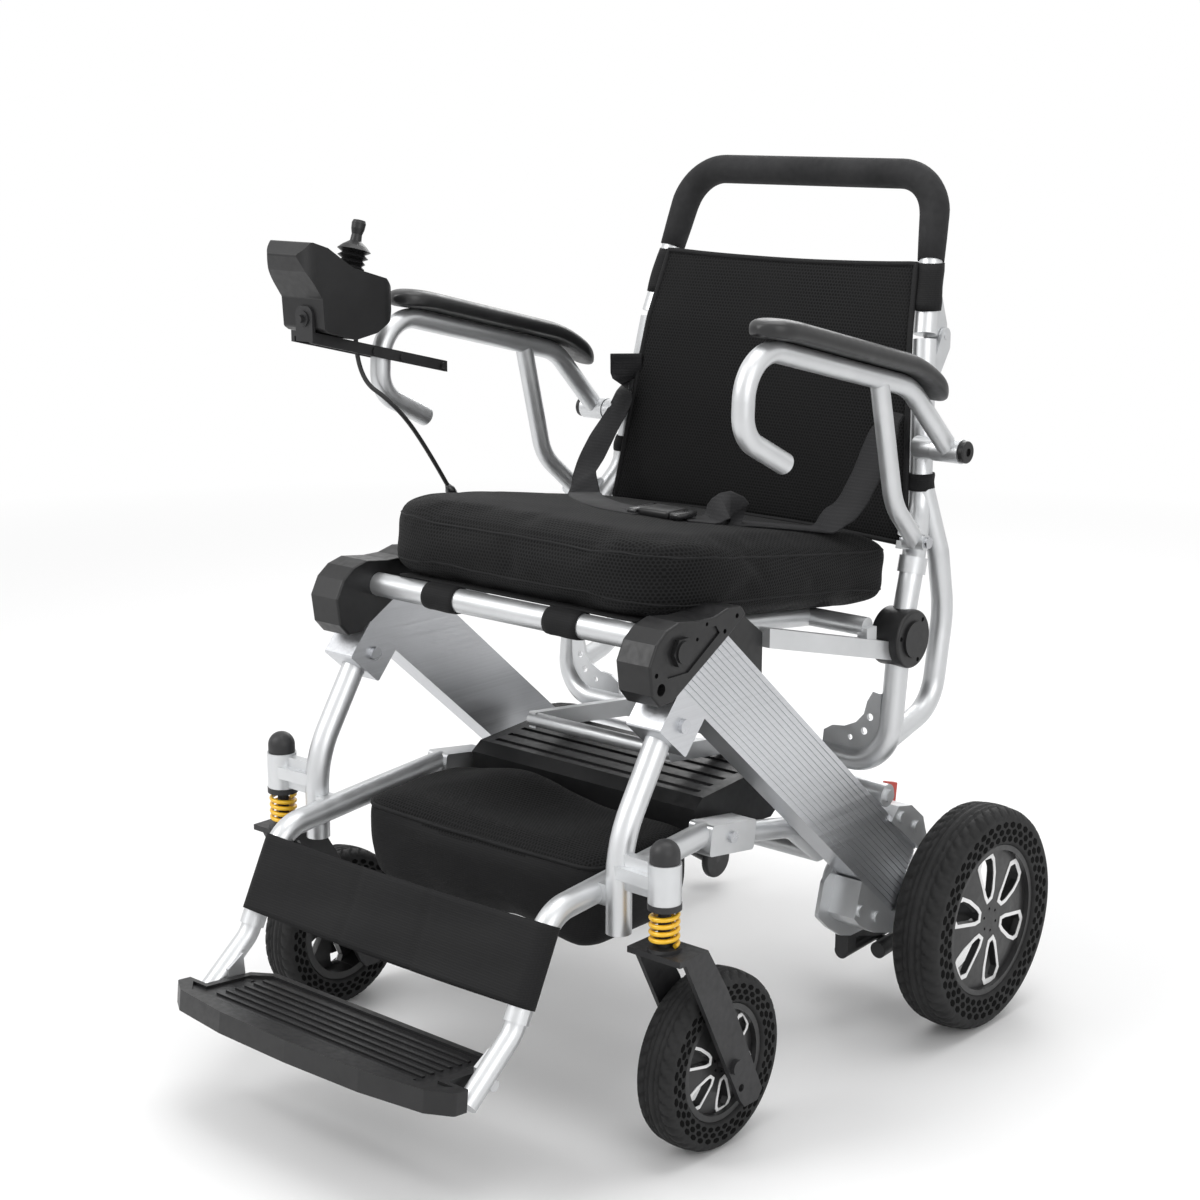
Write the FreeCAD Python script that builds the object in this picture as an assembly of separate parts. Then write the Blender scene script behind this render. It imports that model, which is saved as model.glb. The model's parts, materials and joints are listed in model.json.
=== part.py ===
import FreeCAD, Part
import os
from math import sin, cos, tan, atan, atan2, radians, degrees, sqrt

V = FreeCAD.Vector
X, Y, Z = V(1, 0, 0), V(0, 1, 0), V(0, 0, 1)

# ---------------------------------------------------------------- sizes (mm)
# The frame is drawn about a datum; ORIGIN_Y puts the origin under the middle.
ORIGIN_Y = 299.75
RUN_GAP = 0.3            # running gap between pieces that only meet
SOFT_GAP = 0.3           # gap between a soft piece and its neighbour

# wheels
REAR_D = 250.0
REAR_W = 56.0
REAR_X = 306.0
AXLE_Y = -24.0
REAR_RIM_D = 168.0
REAR_BORE = 16.0
FRONT_D = 180.0
FRONT_W = 42.0
CASTER_X = 268.0
CASTER_Y = -514.0
TRAIL = 70.0
FRONT_RIM_D = 118.0
FRONT_BORE = 10.0
SPOKES = 6

# caster unit, heights
HEAD_Z0 = 270.0
HEAD_Z1 = 309.0
HEAD_D = 32.0
STEM_D = 18.0
FORK_Z = 223.0
FORK_T = 6.0
FORK_BLADE = 5.0
FORK_IN = 54.0
FORK_W = 36.0
SPRING_D = 30.0
SPRING_WIRE = 4.6
SPRING_SEAT = 6.0
SPRING_TURNS = 4.5
TRAVEL = 12.0

# main frame
TUBE_D = 25.4
BEAM_IN = 202.0
BEAM_T = 30.0
BEAM_H = 80.0
BEAM_WALL = 3.0
BEAM_ANGLE = 41.0
BEAM_LEN = 500.0
BEAM_Y = -450.0
BEAM_Z = 452.0
GROOVES = 12
GROOVE_W = 1.8
GROOVE_D = 1.0
LEG_X = 212.0
LEG_FOOT = 225.5
LEG_PIVOT = (-447.0, 419.0)
BRACKET_W = 42.0
BRACKET_L = 52.0
BRACKET_H = 42.0
HOUSING_IN = 192.0
HOUSING_OUT = 234.0
BOLT_D = 8.0

# seat
SEAT_TUBE_Y = -437.0
SEAT_TUBE_Z = 493.0
SEAT_SIDE_X = 152.0
RAIL_W = 18.0
RAIL_H = 20.0
RAIL_X = 230.0
CUSHION_W = 428.0
CUSHION_Y0 = -452.0
CUSHION_Y1 = -44.0
CUSHION_T = 80.0
SEAT_FALL = 0.114        # the seat drops to the rear by this much per mm
SLING_T = 3.0
CUSHION_R = 62.0
CUSHION_EDGE = 24.0

# back
DISC_X = 232.0
DISC_Y = -74.0
DISC_Z = 437.0
DISC_D = 64.0
DISC_T = 36.0
U_Z = 296.0
U_Y = -90.0
POST_LOW = (212.0, -12.0, 566.0)
FOLD_Y = 43.0
POST_TOP_Y = 18.0
FOLD_Z = 748.0
POST_TOP_X = 192.0
HANDLE_Z = 919.0
HANDLE_Y = 70.0
HANDLE_X = 168.0
FOAM_D = 33.0
FABRIC_T = 6.0
WRAP_T = 1.6
GUSSET_T = 4.0
LATCH_OUT = 227.7

# armrests
ARM_X = 246.0
ARM_D = 22.0
ARM_PIVOT = (-17.0, 634.0)
PIVOT_D = 12.0
HUB_D = 24.0
BARREL_D = 26.0
PAD_W = 52.0
PAD_T = 20.0
PIN_D = 6.0
PIN_TRAVEL = 6.0

# footrest
HANGER_GAP = 15.0
PLATE_W = 344.0
HANGER_X = PLATE_W / 2.0 + HANGER_GAP
LOWER_D = 21.0
FOOT_DROP = 40.0
BLOCK_W = 30.0
FOOT_PIVOT = (-660.0, 112.0)
PLATE_BACK = -630.0
PLATE_T = 22.0
PLATE_WING = PLATE_W + 50.0
PLATE_TILT = 6.0

# joystick
POD_W = 64.0
STICK_X = -ARM_X
STICK_Y = -418.0
STICK_Z = 820.0
GIMBAL_D = 34.0
KNOB_Z = 876.0
LEAD_D = 5.0


# ------------------------------------------------------------------- helpers
def box(x0, x1, y0, y1, z0, z1):
    return Part.makeBox(x1 - x0, y1 - y0, z1 - z0, V(x0, y0, z0))


def rod(p, d, length, axis=Z):
    return Part.makeCylinder(d / 2.0, length, V(*p), axis)


def ring(p, od, bore, length, axis=Z):
    return rod(p, od, length, axis).cut(rod(p, bore, length, axis))


def side(points, x0, x1):
    """A (y, z) outline carried from x0 to x1."""
    pts = [V(x0, y, z) for y, z in points]
    return Part.Face(Part.makePolygon(pts + pts[:1])).extrude(V(x1 - x0, 0, 0))


def plan(points, z0, z1):
    pts = [V(x, y, z0) for x, y in points]
    return Part.Face(Part.makePolygon(pts + pts[:1])).extrude(V(0, 0, z1 - z0))


def turned(shape, at, axis, angle):
    out = shape.copy()
    out.rotate(V(*at), axis, angle)
    return out


def moved(shape, x=0.0, y=0.0, z=0.0):
    out = shape.copy()
    out.translate(V(x, y, z))
    return out


def mirror(shape):
    return shape.mirror(V(0, 0, 0), X)


def both(shape):
    return [shape, mirror(shape)]


def edges_where(shape, test):
    return [e for e in shape.Edges if test(e)]


def rounded(shape, radius, test):
    picked = edges_where(shape, test)
    return shape.makeFillet(radius, picked) if picked else shape


def along(axis, tol=0.01):
    def test(e):
        if len(e.Vertexes) < 2:
            return False
        d = e.Vertexes[1].Point.sub(e.Vertexes[0].Point)
        return d.Length > 0 and abs(abs(d.normalize().dot(axis)) - 1.0) < tol
    return test


def path(points, radii):
    """Straight runs joined by tangent arcs; radii belong to the inner points."""
    pts = [V(*p) for p in points]
    edges, start = [], pts[0]
    for i in range(1, len(pts) - 1):
        a = pts[i - 1].sub(pts[i]).normalize()
        b = pts[i + 1].sub(pts[i]).normalize()
        half = a.getAngle(b) / 2.0
        r = radii[i - 1]
        back = r / tan(half)
        p1, p2 = pts[i].add(a * back), pts[i].add(b * back)
        bis = a.add(b).normalize()
        mid = pts[i].add(bis * (r / sin(half) - r))
        if start.distanceToPoint(p1) > 1e-4:
            edges.append(Part.makeLine(start, p1))
        edges.append(Part.Arc(p1, mid, p2).toShape())
        start = p2
    edges.append(Part.makeLine(start, pts[-1]))
    return Part.Wire(edges)


def sweep(wire, d):
    p = wire.Edges[0].valueAt(wire.Edges[0].FirstParameter)
    t = wire.Edges[0].tangentAt(wire.Edges[0].FirstParameter)
    prof = Part.Wire([Part.makeCircle(d / 2.0, p, t)])
    return wire.makePipeShell([prof], True, True)


def tube(points, radii, d):
    return sweep(path(points, radii), d)


def fuse(shapes):
    out = shapes[0]
    if len(shapes) > 1:
        out = out.multiFuse(shapes[1:])
    return out.removeSplitter()


def revolve(points, at, axis_point=None):
    """Profile of (radius, x) pairs turned about the X axis through at."""
    pts = [V(at[0] + x, at[1], at[2] + r) for r, x in points]
    face = Part.Face(Part.makePolygon(pts + pts[:1]))
    return face.revolve(V(*at), X, 360)


def export(name, shapes):
    items = shapes if isinstance(shapes, list) else [shapes]
    solids = [s for item in items for s in item.Solids]
    out = solids[0] if len(solids) == 1 else Part.Compound(solids)
    out = moved(out, y=ORIGIN_Y)
    out.exportStep("parts/" + name + ".step")


# ------------------------------------------------------------------ main beam
SLOPE = radians(BEAM_ANGLE)
DOWN = (cos(SLOPE), -sin(SLOPE))      # along the beam to the rear
OUTW = (sin(SLOPE), cos(SLOPE))       # across the beam, upward


def on_beam(s, n):
    """Point s along the lower edge and n above it."""
    return (BEAM_Y + s * DOWN[0] + n * OUTW[0], BEAM_Z + s * DOWN[1] + n * OUTW[1])


BEAM_OUT = BEAM_IN + BEAM_T
FRONT_CUT = 28.0          # how far the upper front corner stands back
REAR_CUT = -8.0           # how far the upper rear corner runs on
BEAM_ENDS = [on_beam(0, 0), on_beam(FRONT_CUT, BEAM_H),
             on_beam(BEAM_LEN + REAR_CUT, BEAM_H), on_beam(BEAM_LEN, 0)]


def beam_bar(s0, s1, n0, n1, x0, x1):
    pts = [on_beam(s0, n0), on_beam(s1, n0), on_beam(s1, n1), on_beam(s0, n1)]
    return side(pts, x0, x1)


def leg_bracket():
    b = box(LEG_X - BRACKET_W / 2, LEG_X + BRACKET_W / 2, LEG_PIVOT[0] - BRACKET_L / 2,
            LEG_PIVOT[0] + BRACKET_L / 2, LEG_PIVOT[1] - BRACKET_H / 2, LEG_PIVOT[1] + BRACKET_H / 2 + 5)
    b = turned(b, (0,) + LEG_PIVOT, X, -BEAM_ANGLE)
    b = rounded(b, 3.0, along(X))
    return b.cut(side(BEAM_ENDS, BEAM_IN, BEAM_OUT))


def beam():
    body = side(BEAM_ENDS, BEAM_IN, BEAM_OUT)
    core = beam_bar(24, BEAM_LEN + 120, BEAM_WALL, BEAM_H - BEAM_WALL,
                    BEAM_IN + BEAM_WALL, BEAM_OUT - BEAM_WALL - GROOVE_D)
    pitch = BEAM_H / (GROOVES + 1.0)
    cuts = [core]
    for i in range(GROOVES):
        n = pitch * (i + 1)
        cuts.append(beam_bar(-60, BEAM_LEN + 120, n - GROOVE_W / 2, n + GROOVE_W / 2,
                             BEAM_OUT - GROOVE_D, BEAM_OUT + 1))
    body = body.cut(Part.Compound(cuts))
    bracket = leg_bracket().cut(leg_space())
    bolt = rod((LEG_X - BRACKET_W / 2 - 1, LEG_PIVOT[0], LEG_PIVOT[1]), BOLT_D + RUN_GAP, BRACKET_W + 2, X)
    return fuse([body, bracket.cut(bolt)])


# ----------------------------------------------------------------------- legs
LEG_TURN = (CASTER_Y, 313.0)


def leg_run(d, top=0.0):
    ly, lz = LEG_PIVOT[0] - LEG_TURN[0], LEG_PIVOT[1] - LEG_TURN[1]
    n = sqrt(ly * ly + lz * lz)
    end = (LEG_X, LEG_PIVOT[0] + top * ly / n, LEG_PIVOT[1] + top * lz / n)
    return tube([(LEG_X, CASTER_Y, LEG_FOOT), (LEG_X,) + LEG_TURN, end], [120.0], d)


def leg_space():
    return leg_run(TUBE_D + 2 * RUN_GAP, 14.0)


def leg():
    run = leg_run(TUBE_D, 12.0).cut(rod((LEG_X, CASTER_Y, LEG_FOOT - 1), TUBE_D - 4.0, 26))
    run = run.cut(rod((LEG_X - 30, LEG_PIVOT[0], LEG_PIVOT[1]), BOLT_D + RUN_GAP, 60, X))
    plate = box(LEG_X, CASTER_X, CASTER_Y - 5, CASTER_Y + 5, HEAD_Z0 + 2, HEAD_Z1 - 2)
    head = rod((CASTER_X, CASTER_Y, HEAD_Z0), HEAD_D, HEAD_Z1 - HEAD_Z0)
    web = plan([(LEG_X, CASTER_Y - 11), (CASTER_X, CASTER_Y - 14), (CASTER_X, CASTER_Y + 14),
                (LEG_X, CASTER_Y + 11)], HEAD_Z0 + 13, HEAD_Z1 - 13)
    body = fuse([run, plate, head, web])
    bore = rod((CASTER_X, CASTER_Y, HEAD_Z0 - 1), STEM_D + 0.1, HEAD_Z1 - HEAD_Z0 + 2)
    cavity = rod((LEG_X, CASTER_Y, LEG_FOOT - 1), TUBE_D - 4.0, 26)
    return body.cut(bore).cut(cavity)


# ---------------------------------------------------------------- caster unit
WHEEL_Y = CASTER_Y + TRAIL
WHEEL_Z = FRONT_D / 2.0


def caster_stem():
    """Stem with its dome cap and the upper spring seat; it turns in the head."""
    cap = Part.makeSphere(HEAD_D / 2 - 1.5, V(CASTER_X, CASTER_Y, HEAD_Z1 + 8))
    cap = cap.common(rod((CASTER_X, CASTER_Y, HEAD_Z1 + 8), HEAD_D, 40))
    skirt = rod((CASTER_X, CASTER_Y, HEAD_Z1), HEAD_D - 3, 8)
    shank = rod((CASTER_X, CASTER_Y, HEAD_Z0 - SPRING_SEAT), STEM_D, HEAD_Z1 - HEAD_Z0 + SPRING_SEAT + 4)
    seat = rod((CASTER_X, CASTER_Y, HEAD_Z0 - SPRING_SEAT), HEAD_D + 1, SPRING_SEAT)
    body = fuse([cap, skirt, shank, seat])
    bore = rod((CASTER_X, CASTER_Y, HEAD_Z0 - SPRING_SEAT - 1), STEM_D - 5.8, 50)
    return body.cut(bore)


def caster_spring():
    z0, z1 = FORK_Z + 4, HEAD_Z0 - SPRING_SEAT
    d = SPRING_D - SPRING_WIRE
    pitch = (z1 - z0 - SPRING_WIRE - 2 * RUN_GAP) / SPRING_TURNS
    helix = Part.makeHelix(pitch, pitch * SPRING_TURNS, d / 2.0)
    prof = Part.Wire([Part.makeCircle(SPRING_WIRE / 2.0, V(d / 2.0, 0, 0), Y)])
    coil = Part.Wire(helix.Edges).makePipeShell([prof], True, True)
    return moved(coil, CASTER_X, CASTER_Y, z0 + SPRING_WIRE / 2.0 + RUN_GAP)


def blade(x0, x1):
    half = FORK_W / 2.0
    top, elbow, low = (CASTER_Y + 8, FORK_Z), (CASTER_Y + 40, 168.0), (WHEEL_Y + 27, 42.0)
    pts = [(top[0] - half, top[1]), (top[0] + half, top[1]), (elbow[0] + half, elbow[1] + 4),
           (low[0] + half, low[1] + 10), (low[0] + half - 8, low[1]), (low[0] - half + 8, low[1]),
           (low[0] - half, low[1] + 10), (elbow[0] - half, elbow[1] - 6)]
    return side(pts, x0, x1)


def caster_fork():
    xi = FORK_IN / 2.0
    crown = box(CASTER_X - xi - FORK_BLADE, CASTER_X + xi + FORK_BLADE, CASTER_Y + 8 - FORK_W / 2 - 6,
                CASTER_Y + 8 + FORK_W / 2, FORK_Z - FORK_T, FORK_Z)
    parts = [crown]
    for s in (-1, 1):
        a, b = CASTER_X + s * xi, CASTER_X + s * (xi + FORK_BLADE)
        parts.append(blade(min(a, b), max(a, b)))
    parts.append(rod((CASTER_X, CASTER_Y, FORK_Z), SPRING_D + 2, 4))
    parts.append(rod((CASTER_X, CASTER_Y, FORK_Z), STEM_D - 6, 55))
    parts.append(rod((CASTER_X - xi - FORK_BLADE - 4, WHEEL_Y, WHEEL_Z), FRONT_BORE, 2 * (xi + FORK_BLADE + 4), X))
    for s in (-1, 1):
        a = CASTER_X + s * (xi + FORK_BLADE)
        parts.append(rod((min(a, a + s * 5), WHEEL_Y, WHEEL_Z), 15.0, 5.0, X))
    body = fuse(parts)
    hole = rod((CASTER_X - 60, WHEEL_Y + 11, WHEEL_Z - 26), 8.0, 120, X)
    return body.cut(hole)


def tyre(d, w, rim_d, at):
    r, ri, h = d / 2.0, rim_d / 2.0, w / 2.0
    pts = [(ri, -h + 3), (ri + 2, -h), (r * 0.9, -h), (r * 0.965, -h * 0.8), (r, -h * 0.3), (r, h * 0.3),
           (r * 0.965, h * 0.8), (r * 0.9, h), (ri + 2, h), (ri, h - 3)]
    return revolve(pts, at)


def window(r0, r1, w0, w1):
    """Outline of one rim window, across and along its spoke: wide and square at the tread, round at the hub."""
    c = 0.18 * (r1 - r0)
    return [(-w1, r1 - c), (-w1 * 0.5, r1), (w1 * 0.8, r1 - c * 0.35), (w1, r1 - c), (w1 * 0.92, r1 - 2.4 * c),
            (w0 * 1.1, r0 + c), (w0 * 0.5, r0 + c * 0.25), (-w0 * 0.5, r0 + c * 0.1), (-w0, r0 + c * 0.8)]


def rim(rim_d, w, bore, at, hub_d, through):
    """Cast rim: barrel, nearly flat face with six windows, and hub."""
    r, h = rim_d / 2.0, w / 2.0
    barrel = revolve([(r - 0.1, -h + 3), (r - 0.1, h - 3), (r - 6, h - 3), (r - 8, 6), (r - 8, -h + 3)], at)
    face = revolve([(0, h - 13), (r - 5, h - 16), (r - 5, h - 9), (r * 0.5, h - 6), (0, h - 6)], at)
    hub = revolve([(0, -h - 4), (hub_d / 2, -h - 4), (hub_d / 2, h - 6), (0, h - 6)], at)
    body = fuse([barrel, face, hub])
    deep = 2 * h + 20 if through else h + SHAFT_OUT + 0.5 + 10
    body = body.cut(rod((at[0] - h - 10, at[1], at[2]), bore, deep, X))
    win = []
    pts = window(hub_d / 2 + 0.08 * r, 0.865 * r, 0.07 * r, 0.155 * r)
    for i in range(SPOKES):
        hole = side([(at[1] + a_, at[2] + b_) for a_, b_ in pts], at[0] - h - 6, at[0] + h + 6)
        win.append(turned(hole, at, X, 360.0 * i / SPOKES + 8.0))
    for i in range(SPOKES):
        t = radians(360.0 * i / SPOKES + 38.0)
        win.append(rod((at[0] + h - 9, at[1] + hub_d * 0.36 * cos(t), at[2] + hub_d * 0.36 * sin(t)), 3.4, 5, X))
    return body.cut(Part.Compound(win))


# --------------------------------------------------------------- hinge housing
BOSS = (-450.0, 492.0)
RAIL_START = -318.0


def housing():
    fl, fu = BEAM_ENDS[0], BEAM_ENDS[1]
    shell = [(-481, 444), (-493, 457), (-497, 486), (-487, 505), (-472, 516), (-453, 521), (-421, 517),
             (-399, 517), (-378, 522), (-357, 520), (-350, 511), fu, fl, (fl[0] - 12, fl[1] - 7)]
    body = side(shell, HOUSING_IN, HOUSING_OUT)
    body = rounded(body, 2.5, lambda e: e.BoundBox.XLength < 0.01)
    inset = [(-484, 486), (-477, 502), (-464, 509), (-450, 511), (-421, 508), (-398, 508), (-392, 500),
             (-440, 470), (-470, 470)]
    body = body.cut(side(inset, HOUSING_OUT - 2.0, HOUSING_OUT + 1))
    hexa = [(BOSS[0] + 15 * cos(radians(60 * i)), BOSS[1] + 15 * sin(radians(60 * i))) for i in range(6)]
    body = fuse([body, side(hexa, HOUSING_OUT - 3, HOUSING_OUT + 3),
                 rod((HOUSING_OUT, BOSS[0], BOSS[1]), 22.0, 5.0, X)])
    for y, z, d in ((-480, 461, 12), (-487, 476, 5), (-412, 512, 4), (-424, 499, 4), (-365, 512, 5), (-384, 500, 5)):
        body = body.cut(rod((HOUSING_OUT - 8, y, z), d, 12, X))
    body = body.cut(leg_bracket())
    top = BEAM_ENDS[1]
    lug = side([(-357, 519), (-347, 507), (RAIL_START, 486), (RAIL_START, 0), (top[0], 0), top],
               BEAM_OUT - 9, BEAM_OUT - 2)
    under = side([on_beam(-100, -400), on_beam(700, -400), on_beam(700, BEAM_H), on_beam(-100, BEAM_H)],
                 BEAM_IN - 20, BEAM_OUT + 20)
    lug = lug.cut(under)
    return fuse([body, lug])


# ------------------------------------------------------------------ seat frame
RAIL_SLOPE = 14.0
SEAT_CROSS_Y = -134.0


def rail_z(y):
    return 470.0 - (y + 272.0) * tan(radians(RAIL_SLOPE))


def seat_frame():
    hw = SEAT_SIDE_X
    front = tube([(-HOUSING_IN, SEAT_TUBE_Y, SEAT_TUBE_Z), (HOUSING_IN, SEAT_TUBE_Y, SEAT_TUBE_Z)], [], TUBE_D)
    parts = [front]
    back_y = SEAT_CROSS_Y
    back_z = seat_z(back_y)
    for s in (-1, 1):
        parts.append(tube([(s * hw, SEAT_TUBE_Y, SEAT_TUBE_Z), (s * hw, back_y, back_z)], [], TUBE_D - 3))
    parts.append(tube([(-RAIL_X, back_y, back_z - 0.01), (RAIL_X, back_y, back_z - 0.01)], [], TUBE_D - 5))
    for s in (-1, 1):
        y0, y1 = RAIL_START, DISC_Y - 8
        h = RAIL_H / 2.0
        x0, x1 = s * RAIL_X - RAIL_W / 2, s * RAIL_X + RAIL_W / 2
        parts.append(side([(y0, rail_z(y0) - h), (y0, rail_z(y0) + h), (y1, rail_z(y1) + h),
                           (y1, rail_z(y1) - h)], x0, x1))
        parts.append(box(x0 + 3, x1 - 3, back_y - 9, back_y + 9, rail_z(back_y), back_z))
    body = fuse(parts)
    for s in (-1, 1):
        clear = rod((s * DISC_X - DISC_T / 2 - 1, DISC_Y, DISC_Z), DISC_D, DISC_T + 2, X)
        body = body.cut(clear)
    return body


def seat_sling():
    """Sling under the cushion with the two wraps that hold it to the front tube."""
    w = SEAT_SIDE_X + TUBE_D / 2
    parts = [on_seat(box(-w, w, SEAT_TUBE_Y - 4, SEAT_CROSS_Y + 8, SLING_Z, SLING_Z + SLING_T))]
    for x in (-92.0, 78.0):
        parts.append(ring((x - 22, SEAT_TUBE_Y, SEAT_TUBE_Z), TUBE_D + 2 * SOFT_GAP + 2 * WRAP_T,
                          TUBE_D + 2 * SOFT_GAP, 44, X))
    return fuse(parts).cut(rod((-w - 5, SEAT_TUBE_Y, SEAT_TUBE_Z), TUBE_D + 2 * SOFT_GAP, 2 * w + 10, X))


def seat_z(y):
    """Centre height of the seat tubes, which fall to the rear."""
    return SEAT_TUBE_Z - (y - SEAT_TUBE_Y) * SEAT_FALL


def on_seat(shape):
    """Tip a level shape to the fall of the seat, about the front tube."""
    return turned(shape, (0, SEAT_TUBE_Y, SEAT_TUBE_Z), X, -degrees(atan(SEAT_FALL)))


SLING_Z = SEAT_TUBE_Z + TUBE_D / 2 + SOFT_GAP
CUSHION_Z = SLING_Z + SLING_T + SOFT_GAP


def cushion():
    w = CUSHION_W / 2.0
    c = box(-w, w, CUSHION_Y0, CUSHION_Y1, CUSHION_Z, CUSHION_Z + CUSHION_T)
    c = rounded(c, CUSHION_R, along(Z))
    c = rounded(c, CUSHION_EDGE, lambda e: abs(e.BoundBox.ZLength) < 0.01)
    c = on_seat(c)
    for s in (-1, 1):
        a, b = s * (HOUSING_IN - SOFT_GAP), s * (HOUSING_OUT + SOFT_GAP)
        c = c.cut(box(min(a, b), max(a, b), -480, -340, 420, 522 + SOFT_GAP))
    return c


# ------------------------------------------------------------------ back frame
def post_at(z):
    """Centre of the back post at height z, above its lower bend."""
    t = (z - POST_LOW[2]) / (FOLD_Z - POST_LOW[2])
    return (POST_LOW[0] + t * (POST_TOP_X - POST_LOW[0]), POST_LOW[1] + t * (POST_TOP_Y - POST_LOW[1]), z)


FOLD_HALF = 2.5           # each post stops this far from the fold line


def back_run(d):
    return tube([(0, U_Y, U_Z), (DISC_X, U_Y, U_Z), (DISC_X, DISC_Y, DISC_Z), (DISC_X - 1, -52, 512),
                 POST_LOW, post_at(FOLD_Z - FOLD_HALF)], [45, 200, 90, 55], d)


def back_lower():
    a = back_run(TUBE_D)
    loop = [(DISC_X - 2, U_Y + 6, 326), (DISC_X - 2, -4, 347), (DISC_X - 2, 14, 452), (DISC_X - 4, 3, 518),
            (POST_LOW[0] + 1, POST_LOW[1] + 4, POST_LOW[2] + 22)]
    b = tube(loop, [48, 120, 40], TUBE_D - 1.4)
    gx, gz = DISC_X, U_Z
    shape = [(-10, 79), (-20, 80), (-27, 68), (-31, 53), (-41, 42), (-56, 35), (-72, 33), (-83, 26), (-85, 6), (-10, 6)]
    web = Part.Face(Part.makePolygon([V(gx + a_, U_Y - GUSSET_T / 2, gz + b_) for a_, b_ in shape + shape[:1]]))
    gus = web.extrude(V(0, GUSSET_T, 0))
    for a_, b_, d_ in ((-23, 51, 8), (-30, 34, 8), (-48, 24, 6)):
        gus = gus.cut(rod((gx + a_, U_Y - 6, gz + b_), d_, 12, Y))
    p = post_at(FOLD_Z - FOLD_HALF)
    clevis = []
    for s in (-1, 1):
        x0 = p[0] + s * 9 - 2
        clevis.append(side([(p[1] - 10, FOLD_Z - 50), (p[1] + 10, FOLD_Z - 50), (FOLD_Y + 9, FOLD_Z - 14),
                            (FOLD_Y + 9, FOLD_Z), (FOLD_Y - 9, FOLD_Z), (FOLD_Y - 16, FOLD_Z - 14)],
                           x0, x0 + 4))
        clevis.append(rod((x0, FOLD_Y, FOLD_Z), 18.0, 4.0, X))
    pin = rod((p[0] - 12, FOLD_Y, FOLD_Z), BOLT_D, 24, X)
    ring_c = moved(turned(ring((0, 0, -9), TUBE_D + 5, TUBE_D - 1, 18), (0, 0, 0), X, -14), DISC_X - 2, -51, 512)
    stub_x = post_at(ARM_PIVOT[1])[0]
    pivot = rod((stub_x, ARM_PIVOT[0], ARM_PIVOT[1]), PIVOT_D, ARM_X + 20 - stub_x, X)
    hub = rod((stub_x + 4, ARM_PIVOT[0], ARM_PIVOT[1]), HUB_D, 231.0 - stub_x - 4, X)
    half = fuse([a, b, gus, ring_c] + clevis + [pin, pivot, hub])
    half = half.common(box(0, 400, -400, 400, 0, 1000))
    ly, lz = STRUT[2][0] - 1, STRUT[2][1]
    lug = side([(ly - 8, lz - 9), (ly + 30, lz - 16), (ly + 36, lz + 4), (ly + 22, lz + 14), (ly - 4, lz + 9)],
               LATCH_OUT - 7.0, LATCH_OUT)
    ry, rz = ly - ARM_PIVOT[0], lz - ARM_PIVOT[1]
    n = sqrt(ry * ry + rz * rz)
    ty, tz = rz / n, -ry / n
    w = PIN_D / 2 + 0.1
    slot = side([(ly - w * tz, lz + w * ty), (ly + w * tz, lz - w * ty), (ly + w * tz + 30 * ty, lz - w * ty + 30 * tz),
                 (ly - w * tz + 30 * ty, lz + w * ty + 30 * tz)], LATCH_OUT - 20, LATCH_OUT + 5)
    lug = lug.cut(slot).cut(rod((LATCH_OUT - 20, ly, lz), 2 * w, 30, X))
    half = fuse([half, lug])
    return fuse([half, mirror(half)])


def disc_hinges():
    out = []
    hole = back_run(TUBE_D + 2 * RUN_GAP)
    d = rod((DISC_X - DISC_T / 2, DISC_Y, DISC_Z), DISC_D - 2 * RUN_GAP, DISC_T, X)
    d = rounded(d, 3.0, lambda e: e.BoundBox.XLength < 0.01)
    d = d.cut(hole)
    d = max(d.Solids, key=lambda s: s.Volume) if len(d.Solids) > 1 else d
    cover = rod((DISC_X + DISC_T / 2, DISC_Y, DISC_Z), DISC_D * 0.62, 3.0, X)
    d = fuse([d, cover])
    for i in range(3):
        a = radians(120 * i + 50)
        d = d.cut(rod((DISC_X + DISC_T / 2 - 2, DISC_Y + 25 * cos(a), DISC_Z + 25 * sin(a)), 5, 6, X))
    return both(d)


def upper_at(z):
    t = (z - FOLD_Z) / (HANDLE_Z - FOLD_Z)
    x = POST_TOP_X - t * (POST_TOP_X - HANDLE_X)
    return (x, POST_TOP_Y + t * (HANDLE_Y - POST_TOP_Y), z)


UPPER_H = HANDLE_Z - FOLD_Z
HANDLE_R = 0.304 * UPPER_H
FOAM_LOW = FOLD_Z + 0.5263 * UPPER_H


def back_upper():
    low, top = upper_at(FOLD_Z + FOLD_HALF), (HANDLE_X, HANDLE_Y, HANDLE_Z)
    hoop = tube([low, top, (-top[0], top[1], top[2]), (-low[0], low[1], low[2])], [HANDLE_R, HANDLE_R], TUBE_D)
    parts = [hoop]
    for s in (-1, 1):
        px = s * post_at(FOLD_Z - FOLD_HALF)[0]
        tongue = side([(POST_TOP_Y + 8, FOLD_Z + 10), (FOLD_Y - 8, FOLD_Z - 2), (FOLD_Y + 9, FOLD_Z),
                       (FOLD_Y + 8, FOLD_Z + 12), (POST_TOP_Y + 20, FOLD_Z + 46)], px - 6.6, px + 6.6)
        parts.append(tongue)
        parts.append(rod((px - 6.6, FOLD_Y, FOLD_Z), 18.0, 13.2, X))
    body = fuse(parts)
    for s in (-1, 1):
        px = s * post_at(FOLD_Z - FOLD_HALF)[0]
        body = body.cut(rod((px - 14, FOLD_Y, FOLD_Z), BOLT_D + 0.1, 28, X))
    return body


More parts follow.
